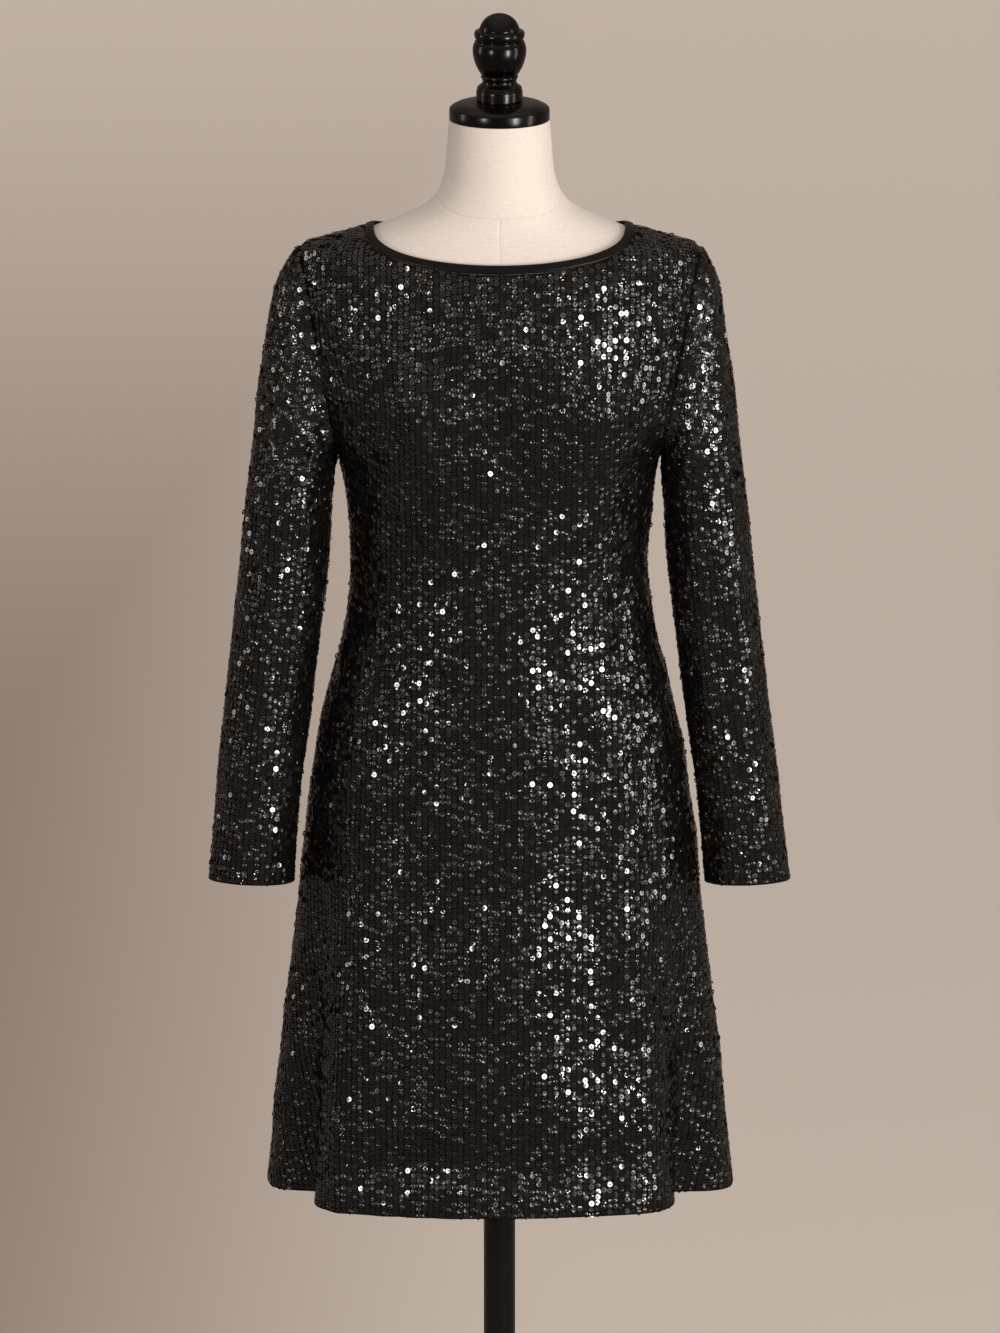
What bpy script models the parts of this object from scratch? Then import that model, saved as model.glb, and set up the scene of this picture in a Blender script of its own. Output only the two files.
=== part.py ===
"""Long-sleeved sequined cocktail dress on its limbless dress form and stand.

Front of the dress faces -Y, +X is the wearer's left, +Z is up and the origin is
on the floor under the middle of the stand. Tables and sizes are in millimetres,
and heights in them are counted from the level of the hem. Points become metres
when a mesh is made.
"""

from collections import namedtuple

import bmesh
import bpy
import numpy as np
from mathutils import Vector

MM = 0.001

# Driving sizes of the dress.
HEM_ABOVE_FLOOR = 470.0
CLOTH = 1.6  # sequined mesh with its backing
SEAM_GAP = 0.3  # between neighbouring pieces
NECK_HALF = 119.0  # from the middle to the neck opening's edge on the shoulder seam
SHOULDER_TIP = (189.0, 913.0)
UNDERARM = (152.0, 708.0)
FRONT_NECK_HEIGHT = 910.5
BACK_NECK_HEIGHT = 914.0
BINDING_WIDTH = 8.0
BINDING_THICK = 3.0
BINDING_PROUD = 1.1
BUST = dict(half_apart=88.0, height=762.0, out=17.0, across=52.0, above=62.0, below=84.0)

# Driving sizes of the form and the stand.
FORM_UNDER_CLOTH = 4.6  # drop from the cloth's outer face to the form at the shoulders
FORM_BOTTOM = 236.0
FORM_NECK_TOP = 1035.5
ARM_PLATE_INSET = 5.0
POLE_RADIUS = 15.0
FIT = 0.3  # clearance between stacked hard pieces

FRONT, BACK = -1, 1

Ring = namedtuple("Ring", "height half_width front back square")
BODY_RINGS = [
    Ring(0, 224, 144, 142, 2.5),
    Ring(100, 213.5, 136, 138, 2.45),
    Ring(181, 204, 129, 133, 2.4),
    Ring(278, 192, 118, 127, 2.3),
    Ring(356, 184, 113, 122, 2.25),
    Ring(433, 174, 108, 117, 2.2),
    Ring(491, 161, 103, 110, 2.15),
    Ring(530, 151, 99, 103, 2.1),
    Ring(569, 144, 96, 97, 2.05),
    Ring(607, 141, 95, 93, 2.05),
    Ring(666, 145, 98, 93, 2.05),
    Ring(708, 152, 102, 95, 2),
    Ring(735, 169, 104, 97, 2),
    Ring(770, 184, 105, 100, 2),
    Ring(820, 194, 101, 102, 2),
    Ring(862, 197, 94, 99, 2),
    Ring(890, 195, 87, 92, 2),
    Ring(913, 189, 77, 82, 2),
    Ring(923, 157, 71, 75, 2),
    Ring(934, 120, 64, 67, 2),
    Ring(946, 84, 58, 60, 2),
]

Ease = namedtuple("Ease", "height side front back")
FORM_EASE = [
    Ease(200, 34, 26, 26),
    Ease(300, 24, 18, 18),
    Ease(433, 13, 9, 9),
    Ease(530, 13, 9, 10),
    Ease(607, 14, 10, 9),
    Ease(708, 9, 5, 6),
    Ease(762, 9, 3.6, 4.5),
    Ease(862, 4, 3.2, 3.6),
    Ease(913, 2, 3.0, 3.0),
    Ease(924, 0, 2.8, 2.8),
    Ease(932, -5, 2.4, 2.4),
    Ease(939, -8, 1.6, 1.6),
]

NECK_RINGS = [
    Ring(939, 99.5, 57.6, 59.8, 2),
    Ring(943, 90, 56.5, 58.7, 2),
    Ring(948, 79, 55.6, 57.6, 2),
    Ring(954, 69, 54.9, 56.7, 2),
    Ring(961, 62, 54.0, 55.4, 2),
    Ring(972, 55.8, 52, 53, 2),
    Ring(988, 51.6, 50, 51, 2),
    Ring(1010, 49.6, 48.5, 48.5, 2),
    Ring(1035.5, 47.6, 47, 47, 2),
]

# A sleeve's cross-sections: its outer and inner edge seen from the front, half its size
# front to back with the middle of that, and how much its front stands above its back.
Section = namedtuple("Section", "out_x out_height in_x in_height half_depth middle_y tilt")
SLEEVE_SECTIONS = [
    Section(189, 913, 152, 708, 52, 0, 0),
    Section(192, 911.8, 152.6, 706.8, 52, 0, 0),
    Section(199.5, 901, 153.4, 704.8, 52.5, 0, 0),
    Section(209, 879, 154, 702, 53, 0, 0),
    Section(215.5, 848, 154.4, 698, 53, -1, 0),
    Section(221.5, 804, 154.8, 693, 53, -2, 0),
    Section(228.5, 750, 155.2, 685, 52, -4, 0),
    Section(235, 690, 156, 671, 51, -6, 1),
    Section(241.5, 627, 159.5, 620, 49, -9, 2),
    Section(250, 549, 167, 543, 47, -13, 4),
    Section(258.5, 472, 177.5, 468, 45.5, -18, 5),
    Section(267, 394, 187, 391, 44.5, -23, 6),
    Section(276.5, 306, 194.5, 303, 44, -28, 8),
]
# How much further out than the table each sleeve hangs midway, at its outer and inner edge.
SLEEVE_SWAY = {"right_sleeve": (3.0, 1.5), "left_sleeve": (-3.0, -1.5)}

Fold = namedtuple("Fold", "angle drift depth toward_front toward_back top")
SKIRT_FOLDS = [
    Fold(-67, 4, 47, 14, 14, 400),
    Fold(64, -3, 53, 16, 14, 360),
    Fold(-24, 2, 3.0, 13, 13, 300),
    Fold(20, -2, 3.5, 14, 14, 330),
    Fold(-122, -4, 24, 12, 12, 380),
    Fold(126, 5, 21, 12, 12, 350),
    Fold(-156, -3, 14, 11, 11, 320),
    Fold(163, 2, 15, 11, 11, 340),
]

# The binding's section: out from its middle and up from it, as shares of its half sizes.
BINDING_SECTION = [
    (-1.0, 0.0), (-0.86, 0.8), (-0.4, 1.0), (0.4, 1.0),
    (0.86, 0.8), (0.98, 0.1), (0.72, -0.8), (-0.8, -0.8), (-1.0, 0.0),
]

Turn = namedtuple("Turn", "radius height")
FINIAL_PROFILE = [
    Turn(0.0, 84.4),
    Turn(7.5, 83.0),
    Turn(13.5, 79.2),
    Turn(17.5, 74.0),
    Turn(19.6, 68.6),
    Turn(22.8, 67.2),
    Turn(23.8, 63.9),
    Turn(22.3, 59.2),
    Turn(24.2, 56.4),
    Turn(25.4, 50.5),
    Turn(24.9, 43.5),
    Turn(22.8, 36.0),
    Turn(19.8, 29.4),
    Turn(16.8, 25.0),
    Turn(17.2, 22.6),
    Turn(16.1, 17.8),
    Turn(20.4, 14.4),
    Turn(21.8, 10.0),
    Turn(22.0, 0.0),
    Turn(0.0, 0.0),
]
CAP_PROFILE = [
    Turn(0.0, 17.0),
    Turn(26.0, 16.8),
    Turn(36.0, 15.9),
    Turn(42.0, 14.2),
    Turn(45.6, 12.2),
    Turn(47.2, 10.6),
    Turn(47.5, 9.2),
    Turn(47.5, 1.2),
    Turn(46.8, 0.0),
    Turn(0.0, 0.0),
]
BASE_PROFILE = [
    Turn(0.0, 34.0),
    Turn(26.0, 34.0),
    Turn(28.0, 32.0),
    Turn(29.0, 26.0),
    Turn(34.0, 22.0),
    Turn(60.0, 19.0),
    Turn(150.0, 12.0),
    Turn(174.0, 9.0),
    Turn(180.0, 5.0),
    Turn(180.0, 1.5),
    Turn(178.0, 0.0),
    Turn(0.0, 0.0),
]

# Where the columns of half a panel meet the hem, in degrees from its middle: close
# together at the deep folds. The first of them end on the neckline at NECK_TURNS, which
# are closer together where it rounds into the shoulder, and the rest on the shoulder seam.
HEM_COLUMNS = {
    FRONT: [0, 12, 23, 34, 44, 51, 57, 62.5, 68, 73, 79, 84.5, 90],
    BACK: [0, 9, 18, 27, 36, 45, 52, 58, 64, 70, 77, 84, 90],
}
NECK_TURNS = [0, 17, 33, 47, 60, 71, 80, 86.5, 90]
EVEN_FROM = 250.0  # the columns start to even out here and are even at the underarm
SHOULDER_CROWDING = 1.8  # how much closer the rows get towards the shoulder
ROWS_TO_UNDERARM = 13
ROWS_TO_SHOULDER = 10
AROUND_SLEEVE = 18
AROUND_FORM = 28
TURNED_SIDES = 24

dress = bpy.data.collections.new("cocktail_dress")


def column(rows, name):
    """One named column of a table as an array."""
    return np.array([getattr(row, name) for row in rows], float)


def smooth(rows, name, at):
    """A column of the table read at any height, on a cubic that keeps to its rows."""
    heights, values = column(rows, rows[0]._fields[0]), column(rows, name)
    return cubic(heights, values, at)


def cubic(knots, values, at):
    """A cubic through the knots whose slopes never overshoot, held level past the ends."""
    steps, rises = np.diff(knots), np.diff(values)
    slopes = rises / steps
    inner = np.where(
        slopes[1:] * slopes[:-1] > 0,
        2 * slopes[1:] * slopes[:-1] / (slopes[1:] + slopes[:-1] + 1e-12),
        0.0,
    )
    tangents = np.concatenate([slopes[:1], inner, slopes[-1:]])
    at = np.clip(np.asarray(at, float), knots[0], knots[-1])
    i = np.clip(np.searchsorted(knots, at) - 1, 0, len(steps) - 1)
    t = (at - knots[i]) / steps[i]
    return (
        values[i] * (1 + 2 * t) * (1 - t) ** 2
        + values[i + 1] * t * t * (3 - 2 * t)
        + steps[i] * (tangents[i] * t * (1 - t) ** 2 - tangents[i + 1] * t * t * (1 - t))
    )


def bust_swell(x, height):
    """How far the two cups stand out of the front's plain ellipse."""
    reach = np.where(height > BUST["height"], BUST["above"], BUST["below"])
    up = np.exp(-(((height - BUST["height"]) / reach) ** 2))
    across = sum(
        np.exp(-(((x - side * BUST["half_apart"]) / BUST["across"]) ** 2)) for side in (-1, 1)
    )
    return BUST["out"] * up * across


def fold_depth(angle, height):
    """How far the skirt's folds pull the cloth in at this angle and height."""
    depth = np.zeros(np.broadcast(angle, height).shape)
    for fold in SKIRT_FOLDS:
        fall = np.clip(1 - height / fold.top, 0, 1)
        off = np.abs(angle) - np.abs(fold.angle + fold.drift * (1 - fall))
        spread = np.where(off < 0, fold.toward_front, fold.toward_back)
        on_side = np.where(angle * fold.angle > 0, 1, 0)
        depth = depth + on_side * fold.depth * fall**1.35 * np.exp(-((off / spread) ** 2))
    return depth


def body_points(angle, height):
    """Points of the dress's outer face. angle is in degrees round the body from the middle
    of the front, -180 to 180: 90 is the wearer's left side."""
    angle, height = np.broadcast_arrays(np.asarray(angle, float), np.asarray(height, float))
    turn = np.radians(angle)
    front = np.cos(turn) >= 0
    wide = smooth(BODY_RINGS, "half_width", height)
    deep = np.where(
        front, smooth(BODY_RINGS, "front", height), smooth(BODY_RINGS, "back", height)
    )
    x, y = squared_ellipse(turn, wide, deep, smooth(BODY_RINGS, "square", height))
    outward = np.stack([x / wide**2, y / deep**2], axis=-1)
    outward /= np.linalg.norm(outward, axis=-1, keepdims=True)
    pull = fold_depth(angle, height)
    swell = np.where(front, bust_swell(x, height) * np.cos(turn), 0)
    x = x - outward[..., 0] * pull
    y = y - outward[..., 1] * pull - swell
    return np.stack([x, y, height], axis=-1)


def squared_ellipse(turn, wide, deep, square):
    """x and y round an ellipse whose corners fill out as square rises above 2."""
    sine, cosine = np.sin(turn), np.cos(turn)
    x = wide * np.sign(sine) * np.abs(sine) ** (2 / square)
    return x, -deep * np.sign(cosine) * np.abs(cosine) ** (2 / square)


def shoulder_height(x):
    """Height of the shoulder seam, where the body's rings close, this far from the middle."""
    heights = np.linspace(SHOULDER_TIP[1], BODY_RINGS[-1].height, 200)
    return np.interp(-np.asarray(x, float), -smooth(BODY_RINGS, "half_width", heights), heights)


def angle_at(x, height):
    """The angle from the middle, up to 90, at which the plain ring is x wide."""
    share = np.clip(x / smooth(BODY_RINGS, "half_width", height), 0, 1)
    return np.degrees(np.arcsin(share ** (smooth(BODY_RINGS, "square", height) / 2)))


def armhole(share):
    """(x, height) on the armhole, from the underarm at 0 to the shoulder tip at 1."""
    share = np.asarray(share, float)
    height = UNDERARM[1] + (SHOULDER_TIP[1] - UNDERARM[1]) * share
    return UNDERARM[0] + (SHOULDER_TIP[0] - UNDERARM[0]) * share, height


def neckline(turn, side, outside):
    """(x, height) on the neckline, from the middle at turn 0 to the shoulder seam at 90.
    outside is how far out of the neck opening's edge it runs, as across the binding."""
    half = NECK_HALF + outside
    top = shoulder_height(half)
    low = (FRONT_NECK_HEIGHT if side == FRONT else BACK_NECK_HEIGHT) - outside
    turn = np.radians(np.asarray(turn, float))
    return half * np.sin(turn), top - (top - low) * np.cos(turn)


def panel_top(side):
    """(x, height) where each column of half a panel ends: neckline, then shoulder seam."""
    outside = BINDING_WIDTH + SEAM_GAP
    columns = len(HEM_COLUMNS[side]) - 1
    x, height = neckline(NECK_TURNS, side, outside)
    along = np.linspace(0, 1, columns - len(NECK_TURNS) + 2)[1:]
    seam_x = x[-1] + (SHOULDER_TIP[0] - x[-1]) * along
    return np.append(x, seam_x), np.append(height, shoulder_height(seam_x))


def half_panel(side):
    """(angle, height) of every point of half a panel, rows upwards from the hem. Columns
    follow the folds to the underarm, then fan out between the armhole and the middle."""
    hem = np.array(HEM_COLUMNS[side], float)
    even = np.linspace(0, 90, len(hem))
    height = np.linspace(0, UNDERARM[1], ROWS_TO_UNDERARM + 1)[:, None]
    settle = np.clip((height - EVEN_FROM) / (UNDERARM[1] - EVEN_FROM), 0, 1)
    angles = [hem + (even - hem) * settle]
    heights = [np.broadcast_to(height, angles[0].shape)]

    top_x, top_height = panel_top(side)
    v = 1 - np.linspace(1, 0, ROWS_TO_SHOULDER + 1)[1:, None] ** SHOULDER_CROWDING
    c = np.linspace(0, 1, len(hem))
    square = smooth(BODY_RINGS, "square", UNDERARM[1])
    low_x, _ = squared_ellipse(np.radians(even), UNDERARM[0], 1, square)
    arm_x, arm_height = armhole(v)
    x = (1 - v) * low_x + v * top_x + c * (arm_x - (1 - v) * low_x[-1] - v * top_x[-1])
    mid_height = UNDERARM[1] + v * (top_height[0] - UNDERARM[1])
    flat = (1 - v) * UNDERARM[1] + v * top_height
    z = (
        flat
        + (1 - c) * (mid_height - (1 - v) * UNDERARM[1] - v * top_height[0])
        + c * (arm_height - (1 - v) * UNDERARM[1] - v * top_height[-1])
    )
    angles.append(angle_at(x, z))
    heights.append(z)
    return np.concatenate(angles), np.concatenate(heights)


def add_object(name, mesh, material):
    """Puts a mesh in the dress's collection as a named object with its material."""
    mesh.materials.append(material)
    obj = bpy.data.objects.new(name, mesh)
    dress.objects.link(obj)
    return obj


def body_normal(angle, height):
    """Outward direction of the dress's outer face, square to it."""
    height = np.clip(height, 1, None)
    around = body_points(angle + 0.5, height) - body_points(angle - 0.5, height)
    up = body_points(angle, height + 0.5) - body_points(angle, height - 0.5)
    return unit(np.cross(around, up))


def unit(vectors):
    """The same directions, each of length 1."""
    return vectors / np.linalg.norm(vectors, axis=-1, keepdims=True)


def cloth_mesh(name, outer, inner, closed=False):
    """A piece of cloth between two grids of points, rows by columns, its raw edges closed.
    closed joins the last column to the first."""
    rows, columns = outer.shape[:2]
    bm = bmesh.new()
    out, back = (
        [[bm.verts.new(Vector(p) * MM) for p in row] for row in face] for face in (outer, inner)
    )

    def quad(a, b, c, d):
        bm.faces.new((a, b, c, d)).smooth = True

    spans = [(i, (i + 1) % columns) for i in range(columns if closed else columns - 1)]
    for r in range(rows - 1):
        for i, j in spans:
            quad(out[r][i], out[r][j], out[r + 1][j], out[r + 1][i])
            quad(back[r][j], back[r][i], back[r + 1][i], back[r + 1][j])
        if not closed:
            quad(out[r + 1][0], back[r + 1][0], back[r][0], out[r][0])
            quad(out[r][-1], back[r][-1], back[r + 1][-1], out[r + 1][-1])
    for i, j in spans:
        quad(out[0][j], out[0][i], back[0][i], back[0][j])
        quad(out[-1][i], out[-1][j], back[-1][j], back[-1][i])
    mesh = bpy.data.meshes.new(name)
    bm.to_mesh(mesh)
    bm.free()
    return mesh


def grid_mesh(name, points):
    """A surface through a grid of points, the last column joined to the first."""
    bm = bmesh.new()
    verts = [[bm.verts.new(Vector(p) * MM) for p in row] for row in points]
    for low, high in zip(verts, verts[1:]):
        for i in range(len(low)):
            j = (i + 1) % len(low)
            bm.faces.new((low[i], low[j], high[j], high[i])).smooth = True
    mesh = bpy.data.meshes.new(name)
    bm.to_mesh(mesh)
    bm.free()
    return mesh


def lift(points):
    """Adds the hem's height above the floor."""
    return points + np.array([0, 0, HEM_ABOVE_FLOOR])


def add_panel(name, side, material):
    """The front or the back: one sheet from side seam to side seam, hem to shoulders."""
    angle, height = half_panel(side)
    if side == BACK:
        angle = 180 - angle
    angle = np.concatenate([-angle[:, :0:-1], angle], axis=1)
    height = np.concatenate([height[:, :0:-1], height], axis=1)
    points = lift(body_points(angle, height))
    normal = body_normal(angle, height)
    at_seam = np.zeros(points.shape[:2], bool)
    at_seam[: ROWS_TO_UNDERARM + 1, [0, -1]] = True
    shoulder = len(HEM_COLUMNS[side]) - len(NECK_TURNS) + 1
    at_seam[-1, :shoulder] = at_seam[-1, -shoulder:] = True
    points[..., 1][at_seam] = side * SEAM_GAP / 2
    normal[..., 1][at_seam] = 0  # so that the two panels never cross
    inner = points - CLOTH * unit(normal)
    if side == BACK:
        points, inner = points[:, ::-1], inner[:, ::-1]
    return add_object(name, cloth_mesh(name, points, inner), material)


def sleeve_points(around, along, sway):
    """Points of the wearer's left sleeve. around is its own angle: 0 at the shoulder tip, 90
    on the front, 180 at the underarm. along counts the sections from the armhole. sway is
    the sleeve's own."""
    steps = np.arange(len(SLEEVE_SECTIONS), dtype=float)
    row = {k: cubic(steps, column(SLEEVE_SECTIONS, k), along) for k in Section._fields}
    turn = np.radians(around)
    reach = (1 + np.cos(turn)) / 2
    midway = (1 - (2 * along / steps[-1] - 1) ** 4) * np.clip(along / 4, 0, 1) ** 2
    row["out_x"] = row["out_x"] + sway[0] * midway
    row["in_x"] = row["in_x"] + sway[1] * midway
    x = row["in_x"] + (row["out_x"] - row["in_x"]) * reach
    z = row["in_height"] + (row["out_height"] - row["in_height"]) * reach
    z = z + row["tilt"] / 2 * np.sin(turn)
    y = row["middle_y"] - row["half_depth"] * np.sin(turn)
    arm_x, arm_height = armhole(reach)
    arm_angle = angle_at(arm_x, arm_height)
    arm_angle = np.where(np.sin(turn) >= 0, arm_angle, 180 - arm_angle)
    seam_y = body_points(arm_angle, arm_height)[..., 1]
    settle = np.clip(along / 5, 0, 1)
    settle = settle * settle * (3 - 2 * settle)
    return np.stack([x, seam_y + (y - seam_y) * settle, z], axis=-1)


def add_sleeve(name, side, material):
    """One sleeve, from the armhole to the cuff, hanging clear of the skirt."""
    around = np.linspace(0, 360, AROUND_SLEEVE, endpoint=False)
    along = np.append(np.arange(6), np.arange(11, 2 * len(SLEEVE_SECTIONS) - 1) / 2)
    around, along = np.meshgrid(around, along)
    points = lift(sleeve_points(around, along, SLEEVE_SWAY[name]))
    points[..., 0] = side * (points[..., 0] + SEAM_GAP)
    if side < 0:
        points = points[:, ::-1]
    round_about = np.roll(points, -1, axis=1) - np.roll(points, 1, axis=1)
    inner = points - CLOTH * unit(np.cross(round_about, np.gradient(points, axis=0)))
    return add_object(name, cloth_mesh(name, points, inner, closed=True), material)


def neck_loop(outside):
    """(angle, height) round the neckline from the middle of the front, a point to each of
    the panels' columns."""
    loop = []
    for side, mirror in ((FRONT, 1), (BACK, 1), (BACK, -1), (FRONT, -1)):
        x, height = neckline(NECK_TURNS, side, outside)
        angle = angle_at(x, height)
        angle = mirror * (angle if side == FRONT else 180 - angle)
        run = slice(None, -1) if side * mirror < 0 else slice(None, 0, -1)
        loop.append(np.stack([angle[run], height[run]]))
    return np.concatenate(loop, axis=1)


def add_binding(material):
    """The bias binding that edges the neck opening: a flat band with rounded edges."""
    inner, outer = body_points(*neck_loop(0)), body_points(*neck_loop(BINDING_WIDTH))
    middle, across = (inner + outer) / 2, (outer - inner) / 2
    normal = body_normal(*neck_loop(BINDING_WIDTH / 2))
    half = BINDING_THICK / 2
    rings = [
        middle + across * out + normal * (BINDING_PROUD - half + half * up)
        for out, up in BINDING_SECTION
    ]
    mesh = grid_mesh("neck_binding", lift(np.stack(rings)))
    bm = bmesh.new()
    bm.from_mesh(mesh)
    bmesh.ops.remove_doubles(bm, verts=bm.verts, dist=0.01 * MM)
    bmesh.ops.recalc_face_normals(bm, faces=bm.faces)
    bm.to_mesh(mesh)
    bm.free()
    return add_object("neck_binding", mesh, material)


def form_ring(height):
    """One level ring of the form: under the dress it follows the dress's rings, less the
    ease, and above it the neck's own rings."""
    turn = np.radians(np.linspace(0, 360, AROUND_FORM, endpoint=False))
    if height > NECK_RINGS[0].height:
        wide, front, back, square = (smooth(NECK_RINGS, k, height) for k in Ring._fields[1:])
    else:
        above = height + FORM_UNDER_CLOTH
        wide, front, back, square = (smooth(BODY_RINGS, k, above) for k in Ring._fields[1:])
        wide = wide - smooth(FORM_EASE, "side", height)
        front = front - smooth(FORM_EASE, "front", height)
        back = back - smooth(FORM_EASE, "back", height)
    x, y = squared_ellipse(turn, wide, np.where(np.cos(turn) >= 0, front, back), square)
    if height <= NECK_RINGS[0].height:
        y = y - bust_swell(x, height) * np.clip(np.cos(turn), 0, 1)
    return np.stack([x, y, x * 0 + height], axis=-1)


def add_form(material):
    """The limbless torso with its neck, closed by flat plates at the arms and below."""
    levels = np.concatenate(
        [
            np.linspace(FORM_BOTTOM, 708, 10),
            np.linspace(708, 892, 7)[1:],
            np.linspace(892, NECK_RINGS[0].height, 8)[1:],
            column(NECK_RINGS, "height")[1:],
        ]
    )
    mesh = grid_mesh("form_torso", lift(np.array([form_ring(level) for level in levels])))
    bm = bmesh.new()
    bm.from_mesh(mesh)
    bmesh.ops.holes_fill(bm, edges=[e for e in bm.edges if e.is_boundary])
    tip, under = (
        Vector((x, 0, height + HEM_ABOVE_FLOOR)) * MM for x, height in (SHOULDER_TIP, UNDERARM)
    )
    for side in (-1, 1):
        out = Vector((side * (tip.z - under.z), 0, under.x - tip.x)).normalized()
        start = Vector((side * under.x, 0, under.z)) - out * ARM_PLATE_INSET * MM
        bmesh.ops.bisect_plane(
            bm, geom=bm.verts[:] + bm.edges[:] + bm.faces[:], dist=0.05 * MM,
            plane_co=start, plane_no=out, clear_outer=True,
        )
        bmesh.ops.holes_fill(bm, edges=[e for e in bm.edges if e.is_boundary])
    bmesh.ops.recalc_face_normals(bm, faces=bm.faces)
    bm.to_mesh(mesh)
    bm.free()
    return add_object("form_torso", mesh, material)


def add_turned(name, profile, bottom, material):
    """A piece turned about the stand's axis from its profile, listed top to bottom."""
    bm = bmesh.new()
    verts = [bm.verts.new(Vector((p.radius, 0, p.height)) * MM) for p in profile]
    for a, b in zip(verts, verts[1:]):
        bm.edges.new((a, b))
    mesh = bpy.data.meshes.new(name)
    bm.to_mesh(mesh)
    bm.free()
    obj = add_object(name, mesh, material)
    obj.location.z = bottom * MM
    screw = obj.modifiers.new("turn", "SCREW")
    screw.steps = screw.render_steps = TURNED_SIDES
    screw.use_merge_vertices = True
    screw.merge_threshold = 0.00002
    return obj


def add_pole(bottom, top, material):
    """The stand's round pole, from its socket in the base to the form."""
    bpy.ops.mesh.primitive_cylinder_add(
        vertices=24, radius=POLE_RADIUS * MM, depth=(top - bottom) * MM,
        location=(0, 0, (top + bottom) / 2 * MM),
    )
    pole = bpy.context.object
    pole.name = "stand_pole"
    for collection in pole.users_collection:
        collection.objects.unlink(pole)
    dress.objects.link(pole)
    pole.data.materials.append(material)
    return pole


def finish(name, colour, roughness, metallic=0.0):
    """A plain Principled material."""
    material = bpy.data.materials.new(name)
    material.use_nodes = True
    shader = material.node_tree.nodes["Principled BSDF"]
    shader.inputs["Base Color"].default_value = (*colour, 1)
    shader.inputs["Roughness"].default_value = roughness
    shader.inputs["Metallic"].default_value = metallic
    return material


def main():
    """Clears the scene and builds the dress, then the form and the stand."""
    for obj in list(bpy.data.objects):
        bpy.data.objects.remove(obj)
    bpy.context.scene.collection.children.link(dress)

    sequins = finish("black_sequined_mesh", (0.012, 0.011, 0.011), 0.35)
    satin = finish("black_satin_binding", (0.012, 0.012, 0.013), 0.45)
    linen = finish("cream_linen_cover", (0.84, 0.74, 0.66), 0.9)
    lacquer = finish("black_lacquer", (0.006, 0.005, 0.005), 0.12)
    steel = finish("black_enamelled_steel", (0.01, 0.009, 0.008), 0.25)

    add_panel("front_panel", FRONT, sequins)
    add_panel("back_panel", BACK, sequins)
    add_sleeve("left_sleeve", 1, sequins)
    add_sleeve("right_sleeve", -1, sequins)
    add_binding(satin)

    add_form(linen)
    cap_bottom = HEM_ABOVE_FLOOR + FORM_NECK_TOP + FIT
    add_turned("neck_cap", CAP_PROFILE, cap_bottom, lacquer)
    add_turned("finial", FINIAL_PROFILE, cap_bottom + CAP_PROFILE[0].height + FIT, lacquer)
    add_turned("stand_base", BASE_PROFILE, 0, steel)
    add_pole(BASE_PROFILE[0].height + FIT, HEM_ABOVE_FLOOR + FORM_BOTTOM - FIT, steel)


main()
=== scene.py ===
"""Looks of a long-sleeved black sequined cocktail dress on its limbless dress form and stand.

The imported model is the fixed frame. Every piece is made where the model has it, in finer
detail: cloth shells with sewn sequins, a bias binding, a linen-covered form, and turned
lacquered and enamelled hard pieces. The front faces -Y and +X is the wearer's left. Sizes
are in millimetres and heights are counted from the hem, unless a name says otherwise;
points become metres when a mesh is made.
"""

import logging
import math
from dataclasses import dataclass, field
from enum import Enum
from typing import Sequence

import bmesh
import bpy
import numpy as np
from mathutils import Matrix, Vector

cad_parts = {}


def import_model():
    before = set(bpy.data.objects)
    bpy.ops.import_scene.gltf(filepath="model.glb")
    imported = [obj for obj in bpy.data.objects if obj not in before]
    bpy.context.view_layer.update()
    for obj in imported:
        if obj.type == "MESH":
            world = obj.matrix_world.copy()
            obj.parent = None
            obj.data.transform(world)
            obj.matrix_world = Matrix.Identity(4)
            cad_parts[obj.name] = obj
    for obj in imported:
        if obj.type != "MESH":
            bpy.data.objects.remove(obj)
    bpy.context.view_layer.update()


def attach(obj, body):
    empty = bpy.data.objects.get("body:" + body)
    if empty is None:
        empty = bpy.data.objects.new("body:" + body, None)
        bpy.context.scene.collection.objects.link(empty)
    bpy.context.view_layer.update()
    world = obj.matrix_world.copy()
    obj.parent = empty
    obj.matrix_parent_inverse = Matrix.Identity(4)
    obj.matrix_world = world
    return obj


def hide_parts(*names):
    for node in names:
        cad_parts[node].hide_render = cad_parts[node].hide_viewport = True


LOG = logging.getLogger("cocktail_dress")
MM = 0.001
BODY = "root"
HEM_ABOVE_FLOOR = 470.0
FORM_BOTTOM = 236.0
NECK_TOP = 1035.5
WELD = 0.01 * MM
TINY = 1e-12
WAVE_BANDS = 10 / math.pi  # in a metre, of a wave texture whose scale is 1
Array = np.ndarray


class Side(Enum):
    """Which half of the dress's body a panel is."""

    FRONT = -1
    BACK = 1


class Arm(Enum):
    """Which arm a sleeve is for: its sign along X."""

    LEFT = 1
    RIGHT = -1


# ---------------------------------------------------------------------------
# Curves and tables
# ---------------------------------------------------------------------------


def cubic(knots: Array, values: Array, at: Array) -> Array:
    """A cubic through the knots whose slopes never overshoot, held level past the ends.

    Args:
        knots: Rising positions.
        values: The value at each knot.
        at: Where to read the curve.

    Returns:
        The curve's value at each place.
    """
    steps, rises = np.diff(knots), np.diff(values)
    slopes = rises / steps
    product, total = slopes[1:] * slopes[:-1], slopes[1:] + slopes[:-1]
    inner = np.where(product > 0, 2 * product / (total + TINY), 0.0)
    tangents = np.concatenate([slopes[:1], inner, slopes[-1:]])
    at = np.clip(np.asarray(at, float), knots[0], knots[-1])
    i = np.clip(np.searchsorted(knots, at) - 1, 0, len(steps) - 1)
    t = (at - knots[i]) / steps[i]
    return (
        values[i] * (1 + 2 * t) * (1 - t) ** 2
        + values[i + 1] * t * t * (3 - 2 * t)
        + steps[i] * (tangents[i] * t * (1 - t) ** 2 - tangents[i + 1] * t * t * (1 - t))
    )


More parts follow.
